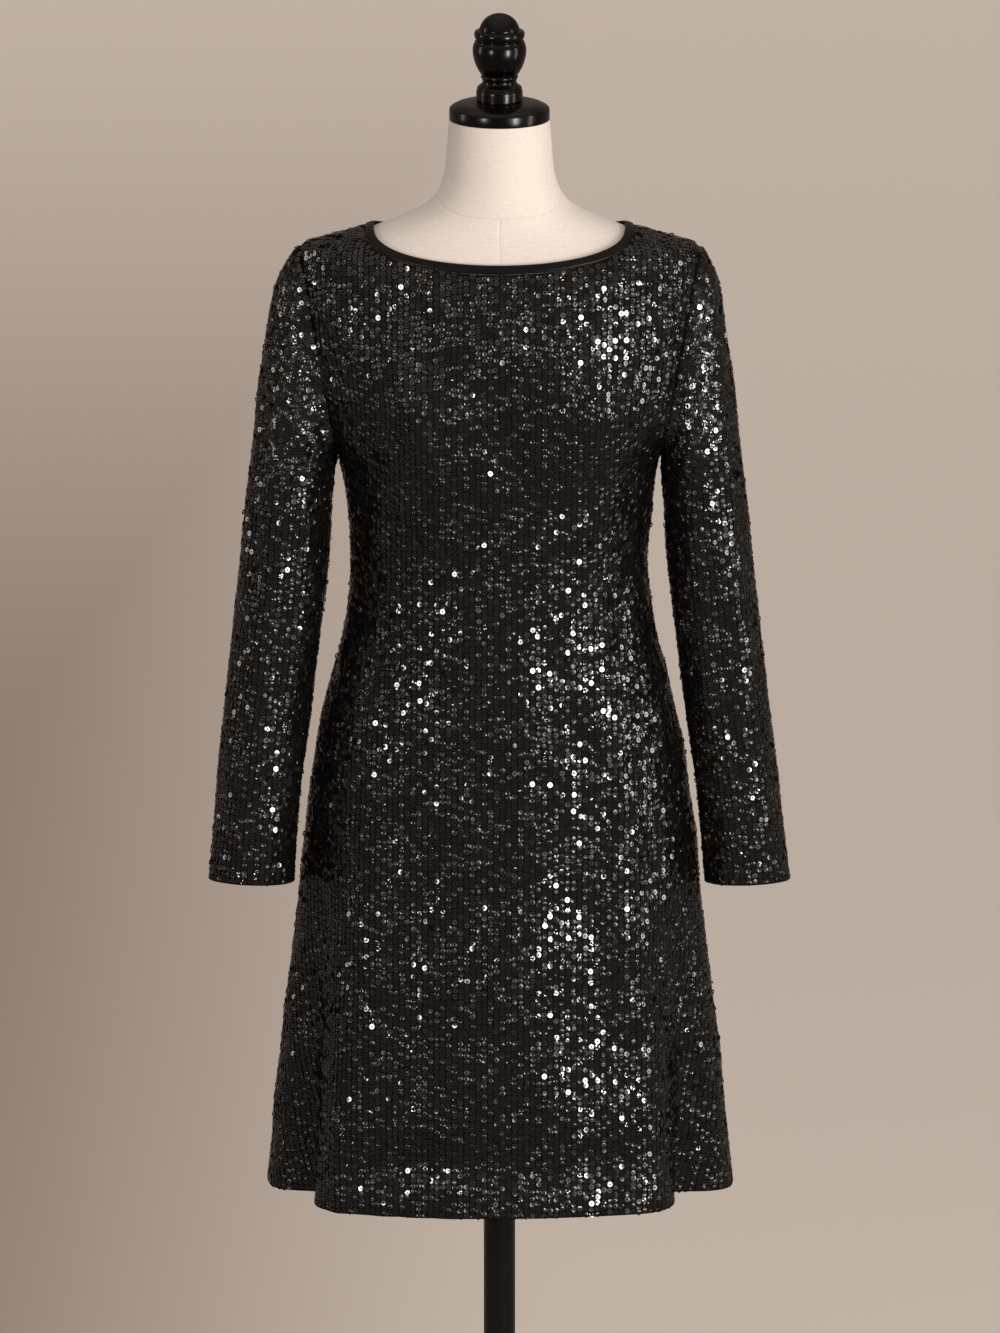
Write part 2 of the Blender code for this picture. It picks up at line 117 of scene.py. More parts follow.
def ease(share: Array) -> Array:
    """A smooth step from 0 to 1 as share goes from 0 to 1."""
    share = np.clip(share, 0, 1)
    return share * share * (3 - 2 * share)


def unit(vectors: Array) -> Array:
    """The same directions, each of length 1."""
    return vectors / np.maximum(np.linalg.norm(vectors, axis=-1, keepdims=True), TINY)


def squared_ellipse(turn: Array, wide: Array, deep: Array, square: Array) -> tuple[Array, Array]:
    """Points round an ellipse whose corners fill out as square rises above 2.

    Args:
        turn: Angle from the middle of the front, in radians.
        wide: Half width.
        deep: Half depth.
        square: 2 for a true ellipse.

    Returns:
        x and y.
    """
    sine, cosine = np.sin(turn), np.cos(turn)
    x = wide * np.sign(sine) * np.abs(sine) ** (2 / square)
    return x, -deep * np.sign(cosine) * np.abs(cosine) ** (2 / square)


def finer(values: Sequence[float], cuts: int) -> Array:
    """The same run of values with each gap cut into equal steps."""
    values = np.asarray(values, float)
    return np.interp(np.arange((len(values) - 1) * cuts + 1) / cuts, np.arange(len(values)), values)


def number_table(*rows: tuple[float, ...]) -> Array:
    """A dataclass field that holds a table of numbers, one tuple to a row."""
    return field(default_factory=lambda: np.array(rows, float))


@dataclass(frozen=True)
class Crease:
    """A soft ridge, or a trough where rise is negative, along a straight line in the cloth.

    start and end are (degrees round the piece, distance along it).
    """

    start: tuple[float, float]
    end: tuple[float, float]
    rise: float
    width: float
    taper: float = 0.3  # share of its length over which each end dies away

    def height(self, around: Array, along: Array, per_degree: float) -> Array:
        """How far the crease lifts the cloth.

        Args:
            around: Degrees round the piece.
            along: Distance along it.
            per_degree: Cloth to a degree.

        Returns:
            The lift at each place.
        """
        run_u = (self.end[0] - self.start[0]) * per_degree
        run_v = self.end[1] - self.start[1]
        length = math.hypot(run_u, run_v)
        u = ((around - self.start[0] + 180) % 360 - 180) * per_degree
        v = along - self.start[1]
        share = (u * run_u + v * run_v) / length**2
        off = (u * run_v - v * run_u) / length
        ends = ease(share / self.taper) * ease((1 - share) / self.taper)
        return self.rise * ends * np.exp(-((off / self.width) ** 2))


# ---------------------------------------------------------------------------
# Shapes of the dress and the form
# ---------------------------------------------------------------------------


@dataclass
class DressBody:
    """The outer face of the dress's body, read at any angle and height."""

    # height, half width, depth in front, depth behind, squareness
    rings: Array = number_table(
        (0, 224, 144, 142, 2.5),
        (100, 213.5, 136, 138, 2.45),
        (181, 204, 129, 133, 2.4),
        (278, 192, 118, 127, 2.3),
        (356, 184, 113, 122, 2.25),
        (433, 174, 108, 117, 2.2),
        (491, 161, 103, 110, 2.15),
        (530, 151, 99, 103, 2.1),
        (569, 144, 96, 97, 2.05),
        (607, 141, 95, 93, 2.05),
        (666, 145, 98, 93, 2.05),
        (708, 152, 102, 95, 2),
        (735, 169, 104, 97, 2),
        (770, 184, 105, 100, 2),
        (820, 194, 101, 102, 2),
        (862, 197, 94, 99, 2),
        (890, 195, 87, 92, 2),
        (913, 189, 77, 82, 2),
        (923, 157, 71, 75, 2),
        (934, 120, 64, 67, 2),
        (946, 84, 58, 60, 2),
    )
    # angle, drift, depth, spread toward the front, spread toward the back, top
    folds: tuple[tuple[float, ...], ...] = (
        (-67, 4, 47, 14, 14, 400),
        (64, -3, 53, 16, 14, 360),
        (-24, 2, 3.0, 13, 13, 300),
        (20, -2, 3.5, 14, 14, 330),
        (-122, -4, 24, 12, 12, 380),
        (126, 5, 21, 12, 12, 350),
        (-156, -3, 14, 11, 11, 320),
        (163, 2, 15, 11, 11, 340),
    )
    creases: tuple[Crease, ...] = (
        Crease((40, 640), (35, -80), 4.5, 20),
        Crease((24, 600), (20, 60), -2.5, 24),
        Crease((-38, 420), (-35, -60), 4.0, 20),
        Crease((-20, 460), (-22, 80), -2.2, 24),
        Crease((6, 430), (1, 30), 2.2, 24),
        Crease((-62, 880), (-36, 800), 2.6, 9),
        Crease((62, 884), (40, 806), 2.4, 9),
        Crease((-58, 700), (-8, 640), 1.6, 11),
        Crease((-50, 664), (2, 596), -1.3, 12),
        Crease((60, 706), (16, 628), 1.5, 11),
        Crease((48, 650), (6, 560), 1.2, 13),
        Crease((-30, 560), (16, 470), 1.5, 14),
        Crease((-14, 500), (30, 400), 1.4, 15),
        Crease((-29, 835), (-26, 728), 4.4, 9),
        Crease((28, 830), (31, 738), 3.2, 10),
        Crease((-43, 125), (-37, -40), 4.5, 8),
        Crease((-25, 84), (-24, -30), 3.4, 9),
        Crease((-17, 60), (-16, -30), 2.8, 7),
        Crease((-9, 72), (-8, -30), 3.0, 8),
        Crease((148, 620), (140, -60), 4.0, 19),
        Crease((-142, 560), (-140, -60), 4.2, 20),
        Crease((178, 430), (-177, 20), 2.4, 22),
        Crease((160, 520), (-178, 460), 1.6, 13),
        Crease((-158, 600), (-176, 540), 1.5, 12),
        Crease((118, 880), (140, 800), 2.2, 10),
        Crease((-118, 884), (-142, 796), 2.4, 10),
    )
    bust_apart: float = 88.0
    bust_height: float = 762.0
    bust_out: float = 17.0
    bust_across: float = 52.0
    bust_above: float = 62.0
    bust_below: float = 84.0
    # strength, waves round, height to a radian, phase
    ripples: tuple[tuple[float, ...], ...] = (
        (1, 9, 21, 0),
        (1, 13, -17, 1.3),
        (0.8, 21, 33, 0.7),
        (0.7, 5, 12, 2.1),
    )
    ripple_lift: float = 0.3
    fold_bend: float = 1.35  # above 1, folds deepen faster toward the hem
    calm: float = 0.75  # share of the relief that the yoke is without
    calm_from: float = 840.0
    calm_over: float = 60.0
    hem_kick: float = 6.2  # how far the cloth dips in before it turns out at the hem
    kick_height: float = 50.0
    kick_breadth: float = 23.0
    kick_mean: float = 0.9
    kick_waves: tuple[tuple[int, float], ...] = ((5, -0.2), (11, 0.12))  # round the hem, share
    mm_per_degree: float = 2.6
    degrees_apart: float = 0.4  # half the span that a slope is read over
    mm_apart: float = 0.8

    def table(self, column: int, height: Array) -> Array:
        """One column of the rings' table at any height."""
        return cubic(self.rings[:, 0], self.rings[:, column], height)

    def bust_swell(self, x: Array, height: Array) -> Array:
        """How far the two cups stand out of the front's plain ellipse."""
        reach = np.where(height > self.bust_height, self.bust_above, self.bust_below)
        up = np.exp(-(((height - self.bust_height) / reach) ** 2))
        across = sum(
            np.exp(-(((x - side * self.bust_apart) / self.bust_across) ** 2)) for side in (-1, 1)
        )
        return self.bust_out * up * across

    def fold_depth(self, angle: Array, height: Array) -> Array:
        """How far the skirt's deep folds pull the cloth in."""
        depth = np.zeros(np.broadcast(angle, height).shape)
        for place, drift, deep, to_front, to_back, top in self.folds:
            fall = np.clip(1 - height / top, 0, 1)
            off = np.abs(angle) - np.abs(place + drift * (1 - fall))
            spread = np.where(off < 0, to_front, to_back)
            on_side = np.where(angle * place > 0, 1, 0)
            fallen = on_side * deep * fall**self.fold_bend
            depth = depth + fallen * np.exp(-((off / spread) ** 2))
        return depth

    def relief(self, angle: Array, height: Array) -> Array:
        """How far creases, the hem's kick and the cloth's slight unevenness lift it."""
        lift = sum(crease.height(angle, height, self.mm_per_degree) for crease in self.creases)
        turn = np.radians(angle)
        lift = lift + self.ripple_lift * sum(
            strength * np.sin(waves * turn + height / tall + phase)
            for strength, waves, tall, phase in self.ripples
        )
        lift = lift * (1 - self.calm * ease((height - self.calm_from) / self.calm_over))
        # the kick is strongest in front and behind, and uneven round the hem
        facing = np.clip(np.cos(turn) ** 2 * 1.5 - 0.3, 0.1, 1)
        uneven = self.kick_mean + sum(
            share * np.sin(waves * turn) for waves, share in self.kick_waves
        )
        near_hem = np.exp(-(((height - self.kick_height) / self.kick_breadth) ** 2))
        return lift - self.hem_kick * facing * uneven * near_hem

    def points(self, angle: Array, height: Array) -> Array:
        """Points of the dress's outer face.

        Args:
            angle: Degrees round the body from the middle of the front, -180 to 180.
            height: Height above the hem.

        Returns:
            Points, in millimetres.
        """
        angle, height = np.broadcast_arrays(np.asarray(angle, float), np.asarray(height, float))
        turn = np.radians(angle)
        front = np.cos(turn) >= 0
        wide = self.table(1, height)
        deep = np.where(front, self.table(2, height), self.table(3, height))
        x, y = squared_ellipse(turn, wide, deep, self.table(4, height))
        outward = unit(np.stack([x / wide**2, y / deep**2], axis=-1))
        swell = np.where(front, self.bust_swell(x, height) * np.cos(turn), 0)
        out = self.relief(angle, height) - self.fold_depth(angle, height)
        return np.stack([x + outward[..., 0] * out, y + outward[..., 1] * out - swell, height], -1)

    def normals(self, angle: Array, height: Array) -> Array:
        """Outward directions square to the outer face."""
        height = np.clip(height, 1, None)
        turn, rise = self.degrees_apart, self.mm_apart
        around = self.points(angle + turn, height) - self.points(angle - turn, height)
        up = self.points(angle, height + rise) - self.points(angle, height - rise)
        return unit(np.cross(around, up))

    def angle_at(self, x: Array, height: Array) -> Array:
        """The angle from the middle, up to 90, at which the plain ring is x wide."""
        share = np.clip(x / self.table(1, height), 0, 1)
        return np.degrees(np.arcsin(share ** (self.table(4, height) / 2)))


@dataclass
class Cut:
    """Where the dress's panels end: neckline, shoulder seams and armholes."""

    body: DressBody
    neck_half: float = 119.0
    shoulder_tip: tuple[float, float] = (189.0, 913.0)
    underarm: tuple[float, float] = (152.0, 708.0)
    neck_low: dict = field(default_factory=lambda: {Side.FRONT: 910.5, Side.BACK: 914.0})
    binding_width: float = 8.0
    seam_gap: float = 0.3

    def shoulder_height(self, x: Array) -> Array:
        """Height of the shoulder seam this far from the middle."""
        heights = np.linspace(self.shoulder_tip[1], self.body.rings[-1, 0], 200)
        return np.interp(-np.asarray(x, float), -self.body.table(1, heights), heights)

    def armhole(self, share: Array) -> tuple[Array, Array]:
        """(x, height) on the armhole, from the underarm at 0 to the shoulder tip at 1."""
        share = np.asarray(share, float)
        (low_x, low), (high_x, high) = self.underarm, self.shoulder_tip
        return low_x + (high_x - low_x) * share, low + (high - low) * share

    def neckline(self, turn: Array, side: Side, outside: float) -> tuple[Array, Array]:
        """Points on a line round the neck opening.

        Args:
            turn: 0 at the middle, 90 at the shoulder seam.
            side: Front or back.
            outside: How far out of the opening's edge the line runs.

        Returns:
            x and height.
        """
        half = self.neck_half + outside
        top = self.shoulder_height(half)
        low = self.neck_low[side] - outside
        turn = np.radians(np.asarray(turn, float))
        return half * np.sin(turn), top - (top - low) * np.cos(turn)

    def holds(self, side: Side, points: Array, margin: float) -> Array:
        """Whether points lie on the panel.

        Args:
            side: Front or back.
            points: Points on the outer face.
            margin: How far inside the panel's edges they must be.

        Returns:
            True for each point that does.
        """
        x, height = np.abs(points[..., 0]), points[..., 2]
        low_x, low = self.underarm
        slope = (self.shoulder_tip[0] - low_x) / (self.shoulder_tip[1] - low)
        in_arm = (height < low + margin) | (x < low_x + slope * (height - low) - margin)
        half = self.neck_half + self.binding_width + self.seam_gap + margin
        top = float(self.shoulder_height(half))
        drop = top - (self.neck_low[side] - self.binding_width - self.seam_gap - margin)
        curve = top - drop * np.sqrt(np.clip(1 - (x / half) ** 2, 0, 1))
        in_neck = (x >= half) | (height < curve)
        off_seam = np.abs(points[..., 1]) > margin
        return in_arm & in_neck & off_seam & (height > margin)


@dataclass
class SleeveShape:
    """The outer face of one sleeve, from the armhole to the cuff."""

    cut: Cut
    arm: Arm
    # outer x and height, inner x and height, half depth, middle y, tilt
    sections: Array = number_table(
        (189, 913, 152, 708, 52, 0, 0),
        (192, 911.8, 152.6, 706.8, 52, 0, 0),
        (199.5, 901, 153.4, 704.8, 52.5, 0, 0),
        (209, 879, 154, 702, 53, 0, 0),
        (215.5, 848, 154.4, 698, 53, -1, 0),
        (221.5, 804, 154.8, 693, 53, -2, 0),
        (228.5, 750, 155.2, 685, 52, -4, 0),
        (235, 690, 156, 671, 51, -6, 1),
        (241.5, 627, 159.5, 620, 49, -9, 2),
        (250, 549, 167, 543, 47, -13, 4),
        (258.5, 472, 177.5, 468, 45.5, -18, 5),
        (267, 394, 187, 391, 44.5, -23, 6),
        (276.5, 306, 194.5, 303, 44, -28, 8),
    )
    sway: dict = field(default_factory=lambda: {Arm.RIGHT: (3.0, 1.5), Arm.LEFT: (-3.0, -1.5)})
    # around, 0 is the outer edge and 90 the front; along is in millimetres of sleeve
    creases: dict = field(
        default_factory=lambda: {
            Arm.RIGHT: (
                Crease((62, 128), (74, 540), 2.6, 9),
                Crease((105, 224), (98, 480), -2.4, 10),
                Crease((38, 200), (44, 400), -1.6, 9),
                Crease((130, 216), (84, 320), 1.8, 7),
                Crease((20, 328), (80, 376), 1.4, 8),
                Crease((-60, 160), (-72, 520), 2.4, 10),
                Crease((-110, 240), (-60, 344), 1.8, 8),
                Crease((-30, 320), (-84, 384), 1.4, 8),
            ),
            Arm.LEFT: (
                Crease((48, 120), (58, 540), 2.6, 10),
                Crease((92, 216), (86, 496), -2.2, 10),
                Crease((118, 208), (76, 304), 1.8, 7),
                Crease((26, 304), (82, 360), 1.5, 8),
                Crease((70, 384), (28, 440), 1.2, 8),
                Crease((-66, 176), (-58, 520), 2.4, 10),
                Crease((-118, 224), (-70, 336), 1.7, 8),
                Crease((-24, 344), (-80, 408), 1.3, 9),
            ),
        }
    )
    # waves round, radians to a section, phase
    ripples: tuple[tuple[float, float, float], ...] = ((4, 2.6, 0), (7, -3.4, 1.1))
    ripple_lift: float = 0.45
    section_mm: float = 40.0  # of sleeve, from one section to the next
    mm_per_degree: float = 0.9
    settle_over: float = 5.0  # sections over which the sleeve leaves the armhole's line
    sway_over: float = 4.0  # sections over which it starts to sway
    smooth_head: tuple[float, float] = (1.5, 4.0)  # sections without creases, and to full ones
    smooth_cuff: tuple[float, float] = (-0.4, 0.8)

    def points(self, around: Array, along: Array) -> Array:
        """Points of the sleeve's outer face.

        Args:
            around: 0 at the shoulder tip and outer edge, 90 on the front, 180 underneath.
            along: Sections from the armhole, in whole or part.

        Returns:
            Points, in millimetres, on the sleeve's own side.
        """
        around, along = np.broadcast_arrays(np.asarray(around, float), np.asarray(along, float))
        last = len(self.sections) - 1
        steps = np.arange(last + 1, dtype=float)
        out_x, out_z, in_x, in_z, deep, mid_y, tilt = (
            cubic(steps, self.sections[:, i], along) for i in range(7)
        )
        turn = np.radians(around)
        reach = (1 + np.cos(turn)) / 2
        starting = np.clip(along / self.sway_over, 0, 1) ** 2
        midway = (1 - (2 * along / last - 1) ** 4) * starting
        sway = self.sway[self.arm]
        out_x, in_x = out_x + sway[0] * midway, in_x + sway[1] * midway
        settled = ease(along / self.settle_over)
        lift = sum(
            crease.height(around, along * self.section_mm, self.mm_per_degree)
            for crease in self.creases[self.arm]
        )
        lift = lift + self.ripple_lift * sum(
            np.sin(waves * turn + along * rate + phase) for waves, rate, phase in self.ripples
        )
        # the armhole and the cuff stay smooth
        (head, head_over), (cuff, cuff_over) = self.smooth_head, self.smooth_cuff
        lift = lift * ease((along - head) / head_over) * ease((last - cuff - along) / cuff_over)
        x = in_x + (out_x - in_x) * reach + lift * np.cos(turn)
        z = in_z + (out_z - in_z) * reach + tilt / 2 * np.sin(turn)
        y = mid_y - (deep + lift) * np.sin(turn)
        arm_x, arm_z = self.cut.armhole(reach)
        arm_angle = self.cut.body.angle_at(arm_x, arm_z)
        seam = self.cut.body.points(
            np.where(np.sin(turn) >= 0, arm_angle, 180 - arm_angle) * self.arm.value, arm_z
        )
        y = seam[..., 1] + (y - seam[..., 1]) * settled
        return np.stack([self.arm.value * (x + self.cut.seam_gap), y, z], -1)


@dataclass
class FormShape:
    """The dress form's surface under and above the dress."""

    body: DressBody
    under_cloth: float = 4.6
    neck_from: float = 939.0
    # height, ease at the side, in front, behind
    ease_table: Array = number_table(
        (200, 34, 26, 26),
        (300, 24, 18, 18),
        (433, 13, 9, 9),
        (530, 13, 9, 10),
        (607, 14, 10, 9),
        (708, 9, 5, 6),
        (762, 9, 3.6, 4.5),
        (862, 4, 3.2, 3.6),
        (913, 2, 3.0, 3.0),
        (924, 0, 2.8, 2.8),
        (932, -5, 2.4, 2.4),
        (939, -8, 1.6, 1.6),
    )
    # height, half width, depth in front, depth behind
    neck_table: Array = number_table(
        (939, 99.5, 57.6, 59.8),
        (943, 90, 56.5, 58.7),
        (948, 79, 55.6, 57.6),
        (954, 69, 54.9, 56.7),
        (961, 62, 54.0, 55.4),
        (972, 55.8, 52, 53),
        (988, 51.6, 50, 51),
        (1010, 49.6, 48.5, 48.5),
        (NECK_TOP, 47.6, 47, 47),
    )

    def points(self, turn: Array, height: Array) -> Array:
        """Points of the form's surface.

        Args:
            turn: Radians round from the middle of the front.
            height: Height above the hem.

        Returns:
            Points, in millimetres.
        """
        front = np.cos(turn) >= 0
        above = height + self.under_cloth
        on_neck = height > self.neck_from
        torso = [
            self.body.table(i, above) - cubic(self.ease_table[:, 0], self.ease_table[:, i], height)
            for i in (1, 2, 3)
        ]
        neck = [cubic(self.neck_table[:, 0], self.neck_table[:, i], height) for i in (1, 2, 3)]
        wide, ahead, behind = (np.where(on_neck, n, t) for n, t in zip(neck, torso))
        square = np.where(on_neck, 2.0, self.body.table(4, above))
        x, y = squared_ellipse(turn, wide, np.where(front, ahead, behind), square)
        swell = self.body.bust_swell(x, height) * np.clip(np.cos(turn), 0, 1)
        return np.stack([x, y - np.where(on_neck, 0, swell), height + 0 * x], -1)


# ---------------------------------------------------------------------------
# Materials
# ---------------------------------------------------------------------------


def from_hex(code: str) -> tuple[float, float, float, float]:
    """An sRGB hex colour as linear values with full alpha."""
    parts = [int(code[i : i + 2], 16) / 255 for i in (0, 2, 4)]
    return (*(p / 12.92 if p <= 0.04045 else ((p + 0.055) / 1.055) ** 2.4 for p in parts), 1.0)


def wire(tree: bpy.types.NodeTree, node: bpy.types.Node, settings: dict, links: dict) -> None:
    """Sets a node up.

    Args:
        tree: The tree that it is in.
        node: The node.
        settings: Values by name: a property of the node, or one of its inputs.
        links: Output sockets by the input that each feeds.
    """
    for name, value in settings.items():
        if isinstance(name, str) and hasattr(node, name):
            setattr(node, name, value)
        else:
            node.inputs[name].default_value = value
    for name, socket in links.items():
        tree.links.new(socket, node.inputs[name])


def add_node(tree: bpy.types.NodeTree, kind: str, settings: dict, links: dict) -> bpy.types.Node:
    """Adds a node of this kind to a tree and sets it up, as wire does."""
    node = tree.nodes.new(kind)
    wire(tree, node, settings, links)
    return node


def add_ramp(
    tree: bpy.types.NodeTree, factor: bpy.types.NodeSocket, stops: Sequence[tuple[float, str]]
) -> bpy.types.NodeSocket:
    """Adds a colour ramp.

    Args:
        tree: The tree.
        factor: What it reads.
        stops: (position, hex colour) pairs, rising.

    Returns:
        Its colour.
    """
    node = add_node(tree, "ShaderNodeValToRGB", {}, {"Fac": factor})
    ramp = node.color_ramp
    while len(ramp.elements) < len(stops):
        ramp.elements.new(0.5)
    for element, (place, code) in zip(ramp.elements, stops):
        element.position, element.color = place, from_hex(code)
    return node.outputs["Color"]


def add_bump(
    tree: bpy.types.NodeTree, height: bpy.types.NodeSocket, strength: float, depth_mm: float
) -> bpy.types.NodeSocket:
    """Adds a bump that reads this height.

    Args:
        tree: The tree.
        height: What it reads.
        strength: How strong it is, up to 1.
        depth_mm: How deep the full height is.

    Returns:
        Its normal.
    """
    settings = {"Strength": strength, "Distance": depth_mm * MM}
    return add_node(tree, "ShaderNodeBump", settings, {"Height": height}).outputs["Normal"]


def new_material(name: str) -> tuple[bpy.types.Material, bpy.types.NodeTree, bpy.types.Node]:
    """A material with its tree and Principled shader."""
    material = bpy.data.materials.new(name)
    material.use_nodes = True
    tree = material.node_tree
    return material, tree, tree.nodes["Principled BSDF"]


@dataclass(frozen=True)
class SequinFilm:
    """Punched black PET film: glossy, thin, each sequin a little lighter, browner or duller."""

    black: str = "070606"
    grey: str = "0E0D0C"
    brown: str = "231B18"
    glossy: float = 0.09
    dull: float = 0.4
    dull_from: float = 0.75  # wear at which the gloss starts to go
    ior: float = 1.6

    def material(self) -> bpy.types.Material:
        """The finished material."""
        material, tree, shader = new_material("punched_black_pet_film")
        tone, wear = (
            add_node(tree, "ShaderNodeAttribute", {"attribute_name": name}, {}).outputs["Fac"]
            for name in ("tone", "wear")
        )
        # most discs are black to grey, and the last few in a hundred look brown
        stops = [(0.0, self.black), (0.80, self.grey), (0.93, self.grey), (0.98, self.brown)]
        rough = add_node(
            tree,
            "ShaderNodeMapRange",
            {"From Min": self.dull_from, "To Min": self.glossy, "To Max": self.dull},
            {"Value": wear},
        )
        links = {"Base Color": add_ramp(tree, tone, stops), "Roughness": rough.outputs["Result"]}
        wire(tree, shader, {"IOR": self.ior}, links)
        return material


@dataclass(frozen=True)
class StretchMesh:
    """Warp-knitted polyamide mesh over its backing: matt black with fine open holes."""

    yarn: str = "090808"
    gap: str = "020202"
    hole_mm: float = 1.1
    roughness: float = 0.85
    specular: float = 0.1

    def material(self) -> bpy.types.Material:
        """The finished material."""
        material, tree, shader = new_material("black_polyamide_mesh")
        place = add_node(tree, "ShaderNodeTexCoord", {}, {})
        holes = add_node(
            tree,
            "ShaderNodeTexVoronoi",
            {"Scale": 1000 / self.hole_mm, "Randomness": 0.25},
            {"Vector": place.outputs["Object"]},
        ).outputs["Distance"]
        wire(
            tree,
            shader,
            {"Roughness": self.roughness, "Specular IOR Level": self.specular},
            {
                "Base Color": add_ramp(tree, holes, [(0.15, self.gap), (0.5, self.yarn)]),
                "Normal": add_bump(tree, holes, 0.5, 0.3),
            },
        )
        return material


@dataclass(frozen=True)
class BiasSatin:
    """Polyester satin cut on the bias: smooth, with a soft broad sheen and a slanting rib."""

    black: str = "040404"
    lit: str = "080707"
    rib_mm: float = 5.655  # true ribs are 0.1 mm; drawn far coarser so that they show
    cloud_mm: float = 16.67  # of the painted sheen: patches a shade paler, as if they took the light better
    roughness: float = 0.36
    specular: float = 0.16

    def material(self) -> bpy.types.Material:
        """The finished material."""
        material, tree, shader = new_material("black_polyester_satin")
        place = add_node(tree, "ShaderNodeTexCoord", {}, {})
        # the UV map is in metres: U round the neck, V across the band
        slant = add_node(
            tree,
            "ShaderNodeMapping",
            {"Rotation": (0, 0, math.radians(45))},
            {"Vector": place.outputs["UV"]},
        )
        rib = add_node(
            tree,
            "ShaderNodeTexWave",
            {"Scale": 1000 / self.rib_mm / WAVE_BANDS, "Distortion": 1.2, "Detail": 2.0},
            {"Vector": slant.outputs["Vector"]},
        )
        cloud = add_node(
            tree,
            "ShaderNodeTexNoise",
            {"Scale": 1000 / self.cloud_mm, "Detail": 3.0},
            {"Vector": place.outputs["Object"]},
        )
        # painted sheen: the lit colour makes paler patches on the black
        stops = [(0.3, self.black), (0.75, self.lit)]
        wire(
            tree,
            shader,
            {"Roughness": self.roughness, "Specular IOR Level": self.specular},
            {
                "Base Color": add_ramp(tree, cloud.outputs["Fac"], stops),
                "Normal": add_bump(tree, rib.outputs["Fac"], 0.18, 0.2),
            },
        )
        return material


@dataclass(frozen=True)
class LinenCover:
    """Cream linen, plain woven and stretched over padding: matt, with slubs and fine seams."""

    warm: str = "B6AFA8"
    pale: str = "C1BAB3"
    thread_mm: float = 3.77  # true threads are 0.5 mm; drawn coarser so that they show
    slub_mm: float = 4.167
    slub_long: float = 2.5  # times as long as it is high
    weave_share: float = 0.1  # of the mottling; slubs are the rest
    roughness: float = 0.9
    sheen: float = 0.08

    def material(self) -> bpy.types.Material:
        """The finished material."""
        material, tree, shader = new_material("cream_plain_woven_linen")
        place = add_node(tree, "ShaderNodeTexCoord", {}, {}).outputs["Object"]
        wave = {"Scale": 1000 / self.thread_mm / WAVE_BANDS, "Distortion": 3.5, "Detail": 2.0}
        weft, warp = (
            add_node(
                tree, "ShaderNodeTexWave", {**wave, "bands_direction": axis}, {"Vector": place}
            ).outputs["Fac"]
            for axis in "ZX"
        )
        weave = add_node(
            tree, "ShaderNodeMath", {"operation": "MULTIPLY"}, {0: weft, 1: warp}
        ).outputs["Value"]
        stretch = add_node(
            tree, "ShaderNodeMapping", {"Scale": (1, 1, self.slub_long)}, {"Vector": place}
        )
        slub = add_node(
            tree,
            "ShaderNodeTexNoise",
            {"Scale": 1000 / self.slub_mm, "Detail": 4.0, "Roughness": 0.7},
            {"Vector": stretch.outputs["Vector"]},
        ).outputs["Fac"]
        mottle = add_node(
            tree, "ShaderNodeMix", {"Factor": self.weave_share}, {"A": slub, "B": weave}
        ).outputs["Result"]
        wire(
            tree,
            shader,
            {"Roughness": self.roughness, "Sheen Weight": self.sheen},
            {
                "Base Color": add_ramp(tree, mottle, [(0.25, self.warm), (0.6, self.pale)]),
                "Normal": add_bump(tree, mottle, 0.2, 0.3),
            },
        )
        return material


@dataclass(frozen=True)
class HardGloss:
    """A sprayed and polished black coat: deep, with a faint orange-peel waviness."""

    name: str
    black: str
    roughness: float
    coat: float
    wave_mm: float = 14.0
    wave_bump: float = 0.04
    specular: float = 0.24

    def material(self) -> bpy.types.Material:
        """The finished material."""
        material, tree, shader = new_material(self.name)
        place = add_node(tree, "ShaderNodeTexCoord", {}, {})
        peel = add_node(
            tree,
            "ShaderNodeTexNoise",
            {"Scale": 1000 / self.wave_mm, "Detail": 2.0},
            {"Vector": place.outputs["Object"]},
        ).outputs["Fac"]
        smear = add_node(
            tree,
            "ShaderNodeMapRange",
            {"To Min": self.roughness * 0.8, "To Max": self.roughness * 1.25},
            {"Value": peel},
        )
        wire(
            tree,
            shader,
            {
                "Base Color": from_hex(self.black),
                "Specular IOR Level": self.specular,
                "Coat Weight": self.coat,
                "Coat Roughness": self.roughness,
            },
            {
                "Roughness": smear.outputs["Result"],
                "Normal": add_bump(tree, peel, self.wave_bump, 1.0),
            },
        )
        return material


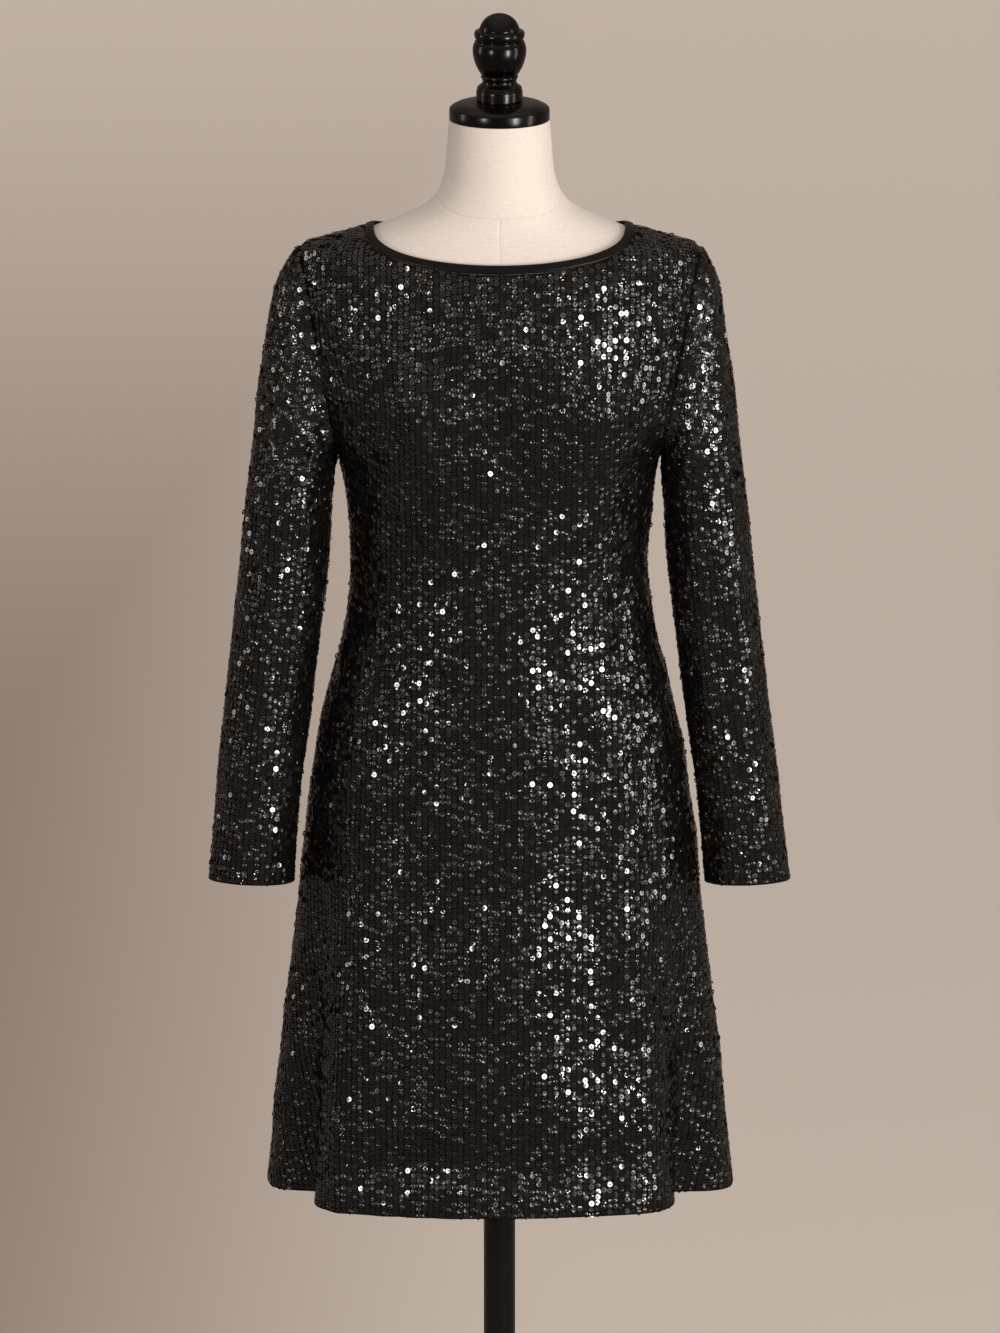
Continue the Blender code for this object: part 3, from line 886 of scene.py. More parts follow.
@dataclass(frozen=True)
class StudioPaper:
    """Matt seamless paper for the floor, with painted shade: its tone falls away to the left and
    near the form.
    """

    shaded: str = "A19284"
    colour: str = "DED7CF"
    across: tuple[float, float] = (-0.75, 0.1)  # metres, from painted shade to full tone
    back: tuple[float, float] = (2.5, 8.5)
    near_shade_value: float = 0.74  # painted shade: share of the tone kept at its nearest, where the lights are close
    near_end: float = 1.0  # metres behind the form, where the painted shade is darkest
    roughness: float = 0.95
    specular: float = 0.1

    def material(self) -> bpy.types.Material:
        """The finished material."""
        material, tree, shader = new_material("seamless_paper")
        place = add_node(tree, "ShaderNodeTexCoord", {}, {})
        parts = add_node(tree, "ShaderNodeSeparateXYZ", {}, {"Vector": place.outputs["Object"]})
        across, back = (
            add_node(
                tree,
                "ShaderNodeMapRange",
                {"interpolation_type": "SMOOTHSTEP", "From Min": low, "From Max": high},
                {"Value": parts.outputs[axis]},
            ).outputs["Result"]
            for axis, (low, high) in (("X", self.across), ("Y", self.back))
        )
        # painted shade: full tone only toward the right or far back
        tone = add_node(
            tree, "ShaderNodeMath", {"operation": "MAXIMUM"}, {0: across, 1: back}
        ).outputs["Value"]
        # painted shade: darker still toward the near end, where the lights are close
        value = add_node(
            tree,
            "ShaderNodeMapRange",
            {"From Min": self.near_end, "From Max": self.back[1], "To Min": self.near_shade_value},
            {"Value": parts.outputs["Y"]},
        )
        colour = add_ramp(tree, tone, [(0.0, self.shaded), (1.0, self.colour)])
        painted_shade_colour = add_node(
            tree,
            "ShaderNodeHueSaturation",
            {},
            {"Color": colour, "Value": value.outputs["Result"]},
        )
        wire(
            tree,
            shader,
            {"Roughness": self.roughness, "Specular IOR Level": self.specular},
            {"Base Color": painted_shade_colour.outputs["Color"]},
        )
        return material


@dataclass
class Finishes:
    """Every material of the object, made once."""

    film: bpy.types.Material = field(default_factory=lambda: SequinFilm().material())
    mesh: bpy.types.Material = field(default_factory=lambda: StretchMesh().material())
    satin: bpy.types.Material = field(default_factory=lambda: BiasSatin().material())
    linen: bpy.types.Material = field(default_factory=lambda: LinenCover().material())
    lacquer: bpy.types.Material = field(
        default_factory=lambda: HardGloss("black_lacquer_on_beech", "030202", 0.21, 0.0).material()
    )
    enamel: bpy.types.Material = field(
        default_factory=lambda: HardGloss("black_stove_enamel", "080707", 0.2, 0.3, 9.0).material()
    )


# ---------------------------------------------------------------------------
# Meshes
# ---------------------------------------------------------------------------


def lifted(points: Array) -> Array:
    """Points in metres above the floor, from millimetres above the hem."""
    return (points + np.array([0, 0, HEM_ABOVE_FLOOR])) * MM


def add_object(name: str, data: bpy.types.ID) -> bpy.types.Object:
    """Puts an object that has this data into the scene."""
    thing = bpy.data.objects.new(name, data)
    bpy.context.scene.collection.objects.link(thing)
    return thing


def add_piece(
    name: str, mesh: bpy.types.Mesh | bmesh.types.BMesh, material: bpy.types.Material
) -> bpy.types.Object:
    """Makes an object of a finished mesh.

    Args:
        name: The piece's name.
        mesh: Its shape, in metres in the frame. A bmesh is freed.
        material: Its finish.

    Returns:
        The object, smooth shaded and riding on the body.
    """
    if isinstance(mesh, bmesh.types.BMesh):
        bm, mesh = mesh, bpy.data.meshes.new(name)
        bm.to_mesh(mesh)
        bm.free()
    mesh.shade_smooth()
    mesh.materials.append(material)
    piece = add_object(name, mesh)
    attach(piece, BODY)
    LOG.info("%s: %d faces", name, len(mesh.polygons))
    return piece


def surface(points: Array, outward: Array, joined: bool = False) -> bmesh.types.BMesh:
    """A sheet through a grid of points.

    Args:
        points: Rows by columns of points, in millimetres above the hem.
        outward: A direction at each point that the faces must look along.
        joined: Whether the last column repeats the first and is merged with it.

    Returns:
        The sheet, its UV map in shares of its rows and columns.
    """
    rows, columns = points.shape[:2]
    bm = bmesh.new()
    bm.loops.layers.uv.new("UVMap")
    bmesh.ops.create_grid(bm, x_segments=columns - 1, y_segments=rows - 1, size=1, calc_uvs=True)
    for vert, place in zip(bm.verts, lifted(points).reshape(-1, 3).tolist()):
        vert.co = place
    bm.normal_update()
    bm.verts.ensure_lookup_table()
    middle = (rows // 2) * columns + columns // 2
    if bm.verts[middle].normal.dot(Vector(outward[rows // 2, columns // 2])) < 0:
        bmesh.ops.reverse_faces(bm, faces=bm.faces)
    if joined:
        bmesh.ops.remove_doubles(bm, verts=bm.verts, dist=WELD)
    return bm


def thicken(piece: bpy.types.Object, thickness: float) -> None:
    """Gives a sheet its thickness, inwards from its faces."""
    solid = piece.modifiers.new("thickness", "SOLIDIFY")
    solid.thickness = thickness * MM
    solid.offset = -1
    solid.use_even_offset = False


def at_grid(grid: Array, row: Array, column: Array) -> Array:
    """Reads a grid of vectors at parts of rows and columns.

    Args:
        grid: Rows by columns of vectors.
        row: Row of each place, in whole or part.
        column: Column of each place.

    Returns:
        The vector at each place.
    """
    i = np.clip(row.astype(int), 0, grid.shape[0] - 2)
    j = np.clip(column.astype(int), 0, grid.shape[1] - 2)
    a, b = (row - i)[:, None], (column - j)[:, None]
    low = grid[i, j] * (1 - b) + grid[i, j + 1] * b
    high = grid[i + 1, j] * (1 - b) + grid[i + 1, j + 1] * b
    return low * (1 - a) + high * a


def grid_normals(points: Array) -> Array:
    """Directions square to a grid of points, one to each."""
    return unit(np.cross(np.gradient(points, axis=1), np.gradient(points, axis=0)))


# ---------------------------------------------------------------------------
# Sequins
# ---------------------------------------------------------------------------


@dataclass
class SequinSewing:
    """How the sequins are sewn: sizes, spacing, and how loosely each one sits.

    Spreads are one standard deviation, and angles are in degrees.
    """

    outer: float = 2.68
    hole: float = 0.78
    sides: int = 8
    column_pitch: float = 5.7
    row_pitch: float = 5.4
    least_pitch: float = 5.0  # each column's count, before those past its end are left off
    wander: float = 0.38  # spread of the pitch along a column
    sway: float = 0.28  # spread to either side of it
    first_row: tuple[float, float] = (1.7, 4.2)
    shortest_run: int = 3  # grid rows
    lean: float = 6.6  # spread of the tilt
    loose: float = 15.0  # and of the few that sit badly
    loose_share: float = 0.06
    steepest: float = 0.6  # radians, the most that one can tilt either way
    stand_off: float = 0.22
    lean_lift: float = 0.45  # share of its radius by which a tilted one is held off the cloth
    deepest_cup: float = 7.0  # at the rim
    flat_dish: float = 1.8  # how far the shaded rim turns on the flattest
    deep_dish: float = 38.0  # and on the most dished
    deep_share: float = 0.36
    deep_range: tuple[float, float] = (0.3, 1.0)
    hole_dish: float = 0.1  # of the rim's turn, at the hole
    dent: float = 0.16  # of the shading across the most dented; half have next to none
    worn_from: float = 0.86  # wear of the dished ones; the others have less
    seed: int = 20

    def blank(self) -> tuple[Array, Array]:
        """One flat sequin: a round blank with its hole, from a circle extruded inwards.

        Returns:
            Its vertices, and its faces as rows of vertex numbers.
        """
        bm = bmesh.new()
        bmesh.ops.create_circle(bm, segments=self.sides, radius=self.outer)
        grown = bmesh.ops.extrude_edge_only(bm, edges=bm.edges[:])["geom"]
        inner = [item for item in grown if isinstance(item, bmesh.types.BMVert)]
        share = self.hole / self.outer
        bmesh.ops.scale(bm, vec=(share, share, share), verts=inner)
        bmesh.ops.recalc_face_normals(bm, faces=bm.faces)
        if sum(face.normal.z for face in bm.faces) < 0:
            bmesh.ops.reverse_faces(bm, faces=bm.faces)
        bm.verts.index_update()
        places = np.array([vert.co[:] for vert in bm.verts])
        faces = np.array([[vert.index for vert in face.verts] for face in bm.faces])
        bm.free()
        return places, faces

    def rows_on(self, points: Array) -> Array:
        """Where sequins fall on a surface: columns a pitch apart in the cloth, and rows along them.

        Args:
            points: Rows by columns of points, rows rising from the edge the rows start at. The
                middle column is where the columns of sequins are counted from.

        Returns:
            (row, column) of each sequin, in whole or part.
        """
        steps = np.linalg.norm(np.diff(points, axis=1), axis=-1)
        across = np.concatenate([np.zeros((len(points), 1)), np.cumsum(steps, axis=1)], axis=1)
        middle = points.shape[1] // 2
        across -= across[:, middle : middle + 1]
        reach = int(max(across.max(), -across.min()) / self.column_pitch) + 1
        rng = np.random.default_rng(self.seed)
        places = np.arange(points.shape[1], dtype=float)
        rows = np.arange(len(points))
        found = []
        for k in range(-reach, reach + 1):
            at = (k + 0.5) * self.column_pitch
            column = np.array([np.interp(at, s, places, left=-1, right=-1) for s in across])
            inside = (column >= 0).astype(int)
            starts = np.flatnonzero(np.diff(inside, prepend=0) == 1)
            stops = np.flatnonzero(np.diff(inside, append=0) == -1) + 1
            for start, stop in zip(starts, stops):
                if stop - start < self.shortest_run:
                    continue
                run = at_grid(points, rows[start:stop].astype(float), column[start:stop])
                gaps = np.linalg.norm(np.diff(run, axis=0), axis=-1)
                length = np.concatenate([[0], np.cumsum(gaps)])
                first = rng.uniform(*self.first_row)
                count = int(length[-1] / self.least_pitch)
                spots = first + np.cumsum(rng.normal(self.row_pitch, self.wander, count))
                spots = spots - self.row_pitch
                spots = spots[(spots > 0) & (spots < length[-1])]
                row = np.interp(spots, length, rows[start:stop])
                spot_column = np.interp(row, rows, column)
                columns_per_mm = np.abs(spot_column - middle) / abs(at)
                aside = rng.normal(0, self.sway, len(row)) * columns_per_mm
                found.append(np.stack([row, spot_column + aside], axis=-1))
        return np.concatenate(found)

    def sew(
        self,
        name: str,
        centres: Array,
        normals: Array,
        ups: Array,
        material: bpy.types.Material,
        slack: Array | float = 1.0,
    ) -> bpy.types.Object:
        """Joins a sequin at each place into one mesh.

        Args:
            name: The piece's name.
            centres: Where each is sewn, in millimetres above the hem.
            normals: The cloth's outward direction there.
            ups: A direction along the column there.
            material: The film.
            slack: How loosely each sits, against the usual: less where the cloth is drawn taut.

        Returns:
            The object, riding on the body.
        """
        rng = np.random.default_rng(self.seed + len(centres))
        count = len(centres)
        blank, faces = self.blank()
        facing, right, top, slope = self.tilted(rng, normals, ups, slack)
        cup = np.tan(np.radians(rng.uniform(0, self.deepest_cup, count)))
        spin = rng.uniform(0, 2 * math.pi / self.sides, count)
        cosine, sine = np.cos(spin)[:, None], np.sin(spin)[:, None]
        x = blank[:, 0] * cosine - blank[:, 1] * sine
        y = blank[:, 0] * sine + blank[:, 1] * cosine
        rise = (np.linalg.norm(blank[:, :2], axis=1) - self.hole) * cup[:, None]
        rise = rise + self.stand_off + self.outer * slope[:, None] * self.lean_lift
        flat = right[:, None] * x[..., None] + top[:, None] * y[..., None]
        spots = centres[:, None] + flat + facing[:, None] * rise[..., None]
        mesh = bpy.data.meshes.new(name)
        all_faces = faces[None] + (np.arange(count) * len(blank))[:, None, None]
        mesh.from_pydata(lifted(spots).reshape(-1, 3), [], all_faces.reshape(-1, faces.shape[1]))

        deep = rng.uniform(*self.deep_range, count) * (rng.random(count) < self.deep_share)
        worn, fresh = rng.uniform(self.worn_from, 1, count), rng.uniform(0, self.worn_from, count)
        wear = np.where(deep > 0, worn, fresh)
        for attribute, each in (("tone", rng.random(count)), ("wear", wear)):
            values = mesh.attributes.new(attribute, "FLOAT", "POINT")
            values.data.foreach_set("value", np.repeat(each, len(blank)))
        piece = add_piece(name, mesh, material)
        shading = self.shading(rng, deep, blank, facing, unit(flat))
        mesh.normals_split_custom_set_from_vertices(shading.reshape(-1, 3))
        return piece

    def tilted(
        self, rng: np.random.Generator, normals: Array, ups: Array, slack: Array | float
    ) -> tuple[Array, Array, Array, Array]:
        """Tilts each sequin a little off the cloth.

        Args:
            rng: Where its chances come from.
            normals: The cloth's outward direction at each.
            ups: A direction along the column.
            slack: How loosely each sits.

        Returns:
            Where each one faces, its right and its top, and the tangent of its tilt.
        """
        count = len(normals)
        side = unit(np.cross(ups, normals))
        up = np.cross(normals, side)
        spread = np.where(rng.random(count) < self.loose_share, self.loose, self.lean) * slack
        lean = np.radians(rng.normal(0, 1, (count, 2)) * spread[:, None])
        lean = np.tan(lean.clip(-self.steepest, self.steepest))
        facing = unit(normals + side * lean[:, :1] + up * lean[:, 1:])
        right = unit(side - facing * (side * facing).sum(-1, keepdims=True))
        return facing, right, np.cross(facing, right), np.linalg.norm(lean, axis=1)

    def shading(
        self, rng: np.random.Generator, deep: Array, blank: Array, facing: Array, radial: Array
    ) -> Array:
        """The shaded directions that make sequins look dished, domed or dented.

        Args:
            rng: Where its chances come from.
            deep: How dished each one is, 0 to 1.
            blank: The vertices of one sequin.
            facing: Where each one faces.
            radial: The direction out from its middle at each vertex.

        Returns:
            A direction at each vertex of each sequin.
        """
        count = len(deep)
        dish = self.flat_dish + self.deep_dish * deep
        dish = np.radians(dish * np.where(rng.random(count) < 0.5, -1, 1))
        on_rim = np.linalg.norm(blank, axis=1) > (self.outer + self.hole) / 2
        reach = np.where(on_rim, 1.0, self.hole_dish)
        dents = rng.normal(0, self.dent, (count, len(blank), 3))
        dents = dents * (rng.random(count) ** 4)[:, None, None]
        return unit(facing[:, None] + radial * np.tan(dish[:, None] * reach)[..., None] + dents)


# ---------------------------------------------------------------------------
# The dress
# ---------------------------------------------------------------------------


@dataclass
class Cloth:
    """Sizes that the dress's sewn pieces share."""

    body: DressBody = field(default_factory=DressBody)
    cut: Cut = field(init=False)
    sewing: SequinSewing = field(default_factory=SequinSewing)
    thickness: float = 1.1
    under_face: float = 0.55  # the mesh lies this far under the sequins' face
    roll: float = 1.0  # radius of a turned edge
    roll_in: float = 0.4  # how far its middle is behind the mesh
    edge_margin: float = 1.0

    def __post_init__(self) -> None:
        """Cuts the panels to the body's shape."""
        self.cut = Cut(self.body)


@dataclass
class EdgeRoll:
    """A narrow turned edge, such as the hem's or a cuff's: a closed roll of cloth."""

    name: str
    radius: float
    tall: float = 1.15
    sides: int = 8

    def build(
        self, line: Array, normals: Array, ups: Array, finish: bpy.types.Material
    ) -> bpy.types.Object:
        """Builds the roll.

        Args:
            line: Points round its middle, the last one repeating the first.
            normals: Outward directions along it.
            ups: Directions up the cloth along it.
            finish: Its material.

        Returns:
            The object.
        """
        turn = np.linspace(0, 2 * math.pi, self.sides + 1)[:, None, None]
        out = np.cos(turn) * self.radius
        up = np.sin(turn) * self.radius * self.tall
        points = line[None] + normals[None] * out + ups[None] * up
        around = np.cos(turn) * normals[None] + np.sin(turn) * ups[None]
        roll = add_piece(self.name, surface(points, around, joined=True), finish)
        return roll


@dataclass
class SequinedPanel:
    """The front or the back of the dress: one sheet of mesh, and the sequins sewn on it."""

    side: Side
    cloth: Cloth
    flat: tuple[float, float]
    area: float
    hem_columns: tuple[float, ...]
    cuts: int = 4
    rows_to_underarm: int = 90
    rows_to_shoulder: int = 36
    neck_turns: tuple[float, ...] = (0, 17, 33, 47, 60, 71, 80, 86.5, 90)
    settle_from: float = 250.0  # columns even out from here up to the underarm
    crowding: float = 1.4  # how much closer together the top rows are
    divide_at: float = 560.0  # the bodice's sequins end and the skirt's begin
    reading_angle: float = 91.0  # to either side of the panel's middle
    coarse_rows: tuple[float, float, float] = (0, 864, 3.0)  # from, to and apart
    fine_rows: tuple[float, float, float] = (864, 947, 0.6)
    bust_taut: float = 0.75  # how much less loosely sequins sit over the bust
    hem_taut: float = 0.375  # and at the hem, below
    hem_taut_from: float = 60.0
    hem_taut_over: float = 40.0

    @property
    def name(self) -> str:
        """The CAD node that the panel stands for."""
        return "front_panel" if self.side is Side.FRONT else "back_panel"

    def half_grid(self) -> tuple[Array, Array]:
        """(angle, height) of half the panel's points: rows follow the hem, then fan out."""
        cut = self.cloth.cut
        hem = finer(self.hem_columns, self.cuts)
        even = np.linspace(0, 90, len(hem))
        low = cut.underarm[1]
        height = np.linspace(0, low, self.rows_to_underarm + 1)[:, None]
        settle = np.clip((height - self.settle_from) / (low - self.settle_from), 0, 1)
        angles = [hem + (even - hem) * settle]
        heights = [np.broadcast_to(height, angles[0].shape)]

        outside = cut.binding_width + cut.seam_gap
        turns = finer(self.neck_turns, self.cuts)
        neck_x, neck_z = cut.neckline(turns, self.side, outside)
        along = np.linspace(0, 1, len(hem) - len(turns) + 1)[1:]
        seam_x = neck_x[-1] + (cut.shoulder_tip[0] - neck_x[-1]) * along
        top_x = np.append(neck_x, seam_x)
        top_z = np.append(neck_z, cut.shoulder_height(seam_x))
        v = 1 - np.linspace(1, 0, self.rows_to_shoulder + 1)[1:, None] ** self.crowding
        c = np.linspace(0, 1, len(hem))
        low_x, low_z = cut.underarm[0] * np.sin(np.radians(even)), np.full(len(hem), low)
        arm_x, arm_z = cut.armhole(v)
        x, z = (
            (1 - v) * start + v * top + c * (arm - (1 - v) * start[-1] - v * top[-1])
            for start, top, arm in ((low_x, top_x, arm_x), (low_z, top_z, arm_z))
        )
        angles.append(self.cloth.body.angle_at(x, z))
        heights.append(z)
        return np.concatenate(angles), np.concatenate(heights)

    def build_sheet(self, finish: bpy.types.Material) -> bpy.types.Object:
        """Builds the panel's mesh cloth, a thin shell just under the sequins."""
        angle, height = self.half_grid()
        if self.side is Side.BACK:
            angle = 180 - angle
        angle = np.concatenate([-angle[:, :0:-1], angle], axis=1)
        height = np.concatenate([height[:, :0:-1], height], axis=1)
        points = self.cloth.body.points(angle, height)
        normals = self.cloth.body.normals(angle, height)
        points = points - normals * self.cloth.under_face
        on_seam = np.zeros(points.shape[:2], bool)
        on_seam[: self.rows_to_underarm + 1, [0, -1]] = True
        to_neck = (angle.shape[1] + 1) // 2 - (len(self.neck_turns) - 1) * self.cuts
        on_seam[-1, :to_neck] = on_seam[-1, -to_neck:] = True
        half_gap = self.cloth.cut.seam_gap / 2
        depth = np.maximum(self.side.value * points[..., 1], half_gap)
        points[..., 1] = self.side.value * np.where(on_seam, half_gap, depth)
        sheet = add_piece(self.name + "_mesh", surface(points, normals), finish)
        thicken(sheet, self.cloth.thickness)
        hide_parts(self.name)
        return sheet

    def build_sequins(self, film: bpy.types.Material) -> list[bpy.types.Object]:
        """Sews the panel's sequins, as a bodice and a skirt."""
        body, cut = self.cloth.body, self.cloth.cut
        far = self.reading_angle
        angles = np.linspace(-far, far, int(2 * far) + 1)
        if self.side is Side.BACK:
            angles = 180 - angles
        heights = np.concatenate([np.arange(*self.coarse_rows), np.arange(*self.fine_rows)])
        angle, height = np.meshgrid((angles + 180) % 360 - 180, heights)
        points, normals = body.points(angle, height), body.normals(angle, height)
        row, column = self.cloth.sewing.rows_on(points).T
        centres = at_grid(points, row, column)
        facing = unit(at_grid(normals, row, column))
        ups = unit(at_grid(np.gradient(points, axis=0), row, column))
        keep = cut.holds(self.side, centres, self.cloth.edge_margin)
        keep &= centres[:, 1] * self.side.value > 0
        centres = centres - facing * self.cloth.under_face
        high = centres[:, 2] > self.divide_at
        label = self.side.name.lower()
        pieces = []
        for part, mask in (("bodice", keep & high), ("skirt", keep & ~high)):
            piece = self.cloth.sewing.sew(
                f"{label}_{part}_sequins",
                centres[mask],
                facing[mask],
                ups[mask],
                film,
                self.slack(centres[mask]),
            )
            pieces.append(piece)
        return pieces

    def slack(self, places: Array) -> Array:
        """How loosely sequins sit: least over the bust and on the turned hem."""
        body = self.cloth.body
        bust = body.bust_swell(places[:, 0], places[:, 2]) / body.bust_out
        bust = bust.clip(0, 1) * (self.side is Side.FRONT)
        hem = ease((self.hem_taut_from - places[:, 2]) / self.hem_taut_over)
        return 1 - np.maximum(self.bust_taut * bust, self.hem_taut * hem)

    def build(self, finishes: Finishes, edges: Sequence[bpy.types.Object] = ()) -> None:
        """Builds the panel and dresses it.

        Args:
            finishes: The object's materials.
            edges: Turned edges that are on this sheet; not used.
        """
        sheet = self.build_sheet(finishes.mesh)
        sequins = self.build_sequins(finishes.film)


@dataclass
class SequinedSleeve:
    """One sleeve: a tube of mesh, its sequins, and the cuff's turned edge."""

    arm: Arm
    cloth: Cloth
    flat: tuple[float, float]
    area: float
    columns: int = 72
    rows: int = 120
    cuff_margin: float = 0.15  # rows without sequins at the cuff
    seam_margin: float = 0.6  # columns without them at either side of the seam
    roll_up: float = 0.6  # how far the cuff's rolled edge is above its end

    @property
    def name(self) -> str:
        """The CAD node that the sleeve stands for."""
        return f"{self.arm.name.lower()}_sleeve"

    def build(self, finishes: Finishes) -> None:
        """Builds the sleeve and dresses it."""
        shape = SleeveShape(self.cloth.cut, self.arm)
        last = len(shape.sections) - 1
        around = np.linspace(-180, 180, self.columns + 1)
        points = shape.points(*np.meshgrid(around, np.linspace(last, 0, self.rows + 1)))
        normals = grid_normals(points)
        from_axis = points - points.mean(axis=1, keepdims=True)
        normals = normals * np.sign((normals * from_axis).sum(-1).mean())
        inner = points - normals * self.cloth.under_face
        sheet = add_piece(self.name + "_mesh", surface(inner, normals, joined=True), finishes.mesh)
        thicken(sheet, self.cloth.thickness)
        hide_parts(self.name)

        ups = unit(np.gradient(points, axis=0))
        place = self.cloth.sewing.rows_on(points)
        keep = place[:, 0] < self.rows - self.cuff_margin
        keep &= np.abs(place[:, 1] - self.columns / 2) < self.columns / 2 - self.seam_margin
        row, column = place[keep].T
        sequins = self.cloth.sewing.sew(
            self.name + "_sequins",
            at_grid(inner, row, column),
            unit(at_grid(normals, row, column)),
            unit(at_grid(ups, row, column)),
            finishes.film,
        )
        line = inner[0] - normals[0] * self.cloth.roll_in + ups[0] * self.roll_up
        cuff = EdgeRoll(f"{self.arm.name.lower()}_cuff_roll", self.cloth.roll).build(
            line, normals[0], ups[0], finishes.mesh
        )


@dataclass
class SkirtHem:
    """The narrow turned edge round the bottom of the skirt."""

    cloth: Cloth
    points_round: int = 360
    height: float = 1.1  # of the roll's middle, above the hem

    def build(self, finishes: Finishes) -> bpy.types.Object:
        """Builds the hem."""
        body, cloth = self.cloth.body, self.cloth
        angle = np.linspace(-180, 180, self.points_round + 1)
        height = np.full(angle.shape, self.height)
        normals = body.normals(angle, height)
        line = body.points(angle, height) - normals * (cloth.under_face + cloth.roll_in)
        ups = np.broadcast_to(np.array([0.0, 0.0, 1.0]), line.shape)
        return EdgeRoll("skirt_hem_roll", cloth.roll).build(line, normals, ups, finishes.mesh)


@dataclass
class NeckBinding:
    """The smooth bias binding round the neck opening, folded over its edge."""

    cloth: Cloth
    flat: tuple[float, float]
    thick: float = 3.0
    proud: float = 1.1
    turns: int = 24
    crowding: float = 1.25  # how much closer its points are beside the shoulder seams
    widths_round: float = 2.6  # round the section, in widths of the band
    # the band's section: out from its middle and up from it, as shares of its half sizes
    section: tuple[tuple[float, float], ...] = (
        (0.72, -0.85),
        (0.9, -0.5),
        (0.985, -0.05),
        (0.97, 0.3),
        (0.9, 0.6),
        (0.72, 0.84),
        (0.42, 0.97),
        (0.0, 1.0),
        (-0.42, 0.98),
        (-0.74, 0.88),
        (-0.92, 0.66),
        (-1.0, 0.3),
        (-1.0, -0.1),
        (-0.93, -0.55),
        (-0.75, -0.85),
        (0.72, -0.85),
    )

    def loop(self, outside: float) -> tuple[Array, Array]:
        """(angle, height) round the neck, from the middle of the back, its end on its start."""
        turn = 90 * (1 - np.linspace(1, 0, self.turns + 1) ** self.crowding)
        runs = []
        for side, mirror in ((Side.BACK, 1), (Side.FRONT, 1), (Side.FRONT, -1), (Side.BACK, -1)):
            x, height = self.cloth.cut.neckline(turn, side, outside)
            angle = self.cloth.body.angle_at(x, height)
            angle = mirror * (angle if side is Side.FRONT else 180 - angle)
            step = 1 if (side is Side.BACK) == (mirror > 0) else -1
            runs.append(np.stack([angle[::step], height[::step]])[:, :-1])
        loop = np.concatenate(runs, axis=1)
        return tuple(np.append(loop, loop[:, :1], axis=1))

    def build(self, finishes: Finishes) -> None:
        """Builds the binding and dresses it."""
        cut, body = self.cloth.cut, self.cloth.body
        inner, outer = body.points(*self.loop(0)), body.points(*self.loop(cut.binding_width))
        normals = body.normals(*self.loop(cut.binding_width / 2))
        middle, across = (inner + outer) / 2, (outer - inner) / 2
        half = self.thick / 2
        rings = [
            middle + across * out + normals * (self.proud - half + half * up)
            for out, up in self.section
        ]
        facing = [unit(across) * out + normals * up for out, up in self.section]
        bm = surface(np.stack(rings), np.stack(facing), joined=True)
        length = float(np.linalg.norm(np.diff(middle, axis=0), axis=1).sum()) * MM
        layer = bm.loops.layers.uv.active
        for face in bm.faces:
            for loop in face.loops:
                u, v = loop[layer].uv
                loop[layer].uv = (u * length, v * self.widths_round * cut.binding_width * MM)
        band = add_piece("neck_binding_satin", bm, finishes.satin)
        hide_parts("neck_binding")


# ---------------------------------------------------------------------------
# The form and the stand
# ---------------------------------------------------------------------------


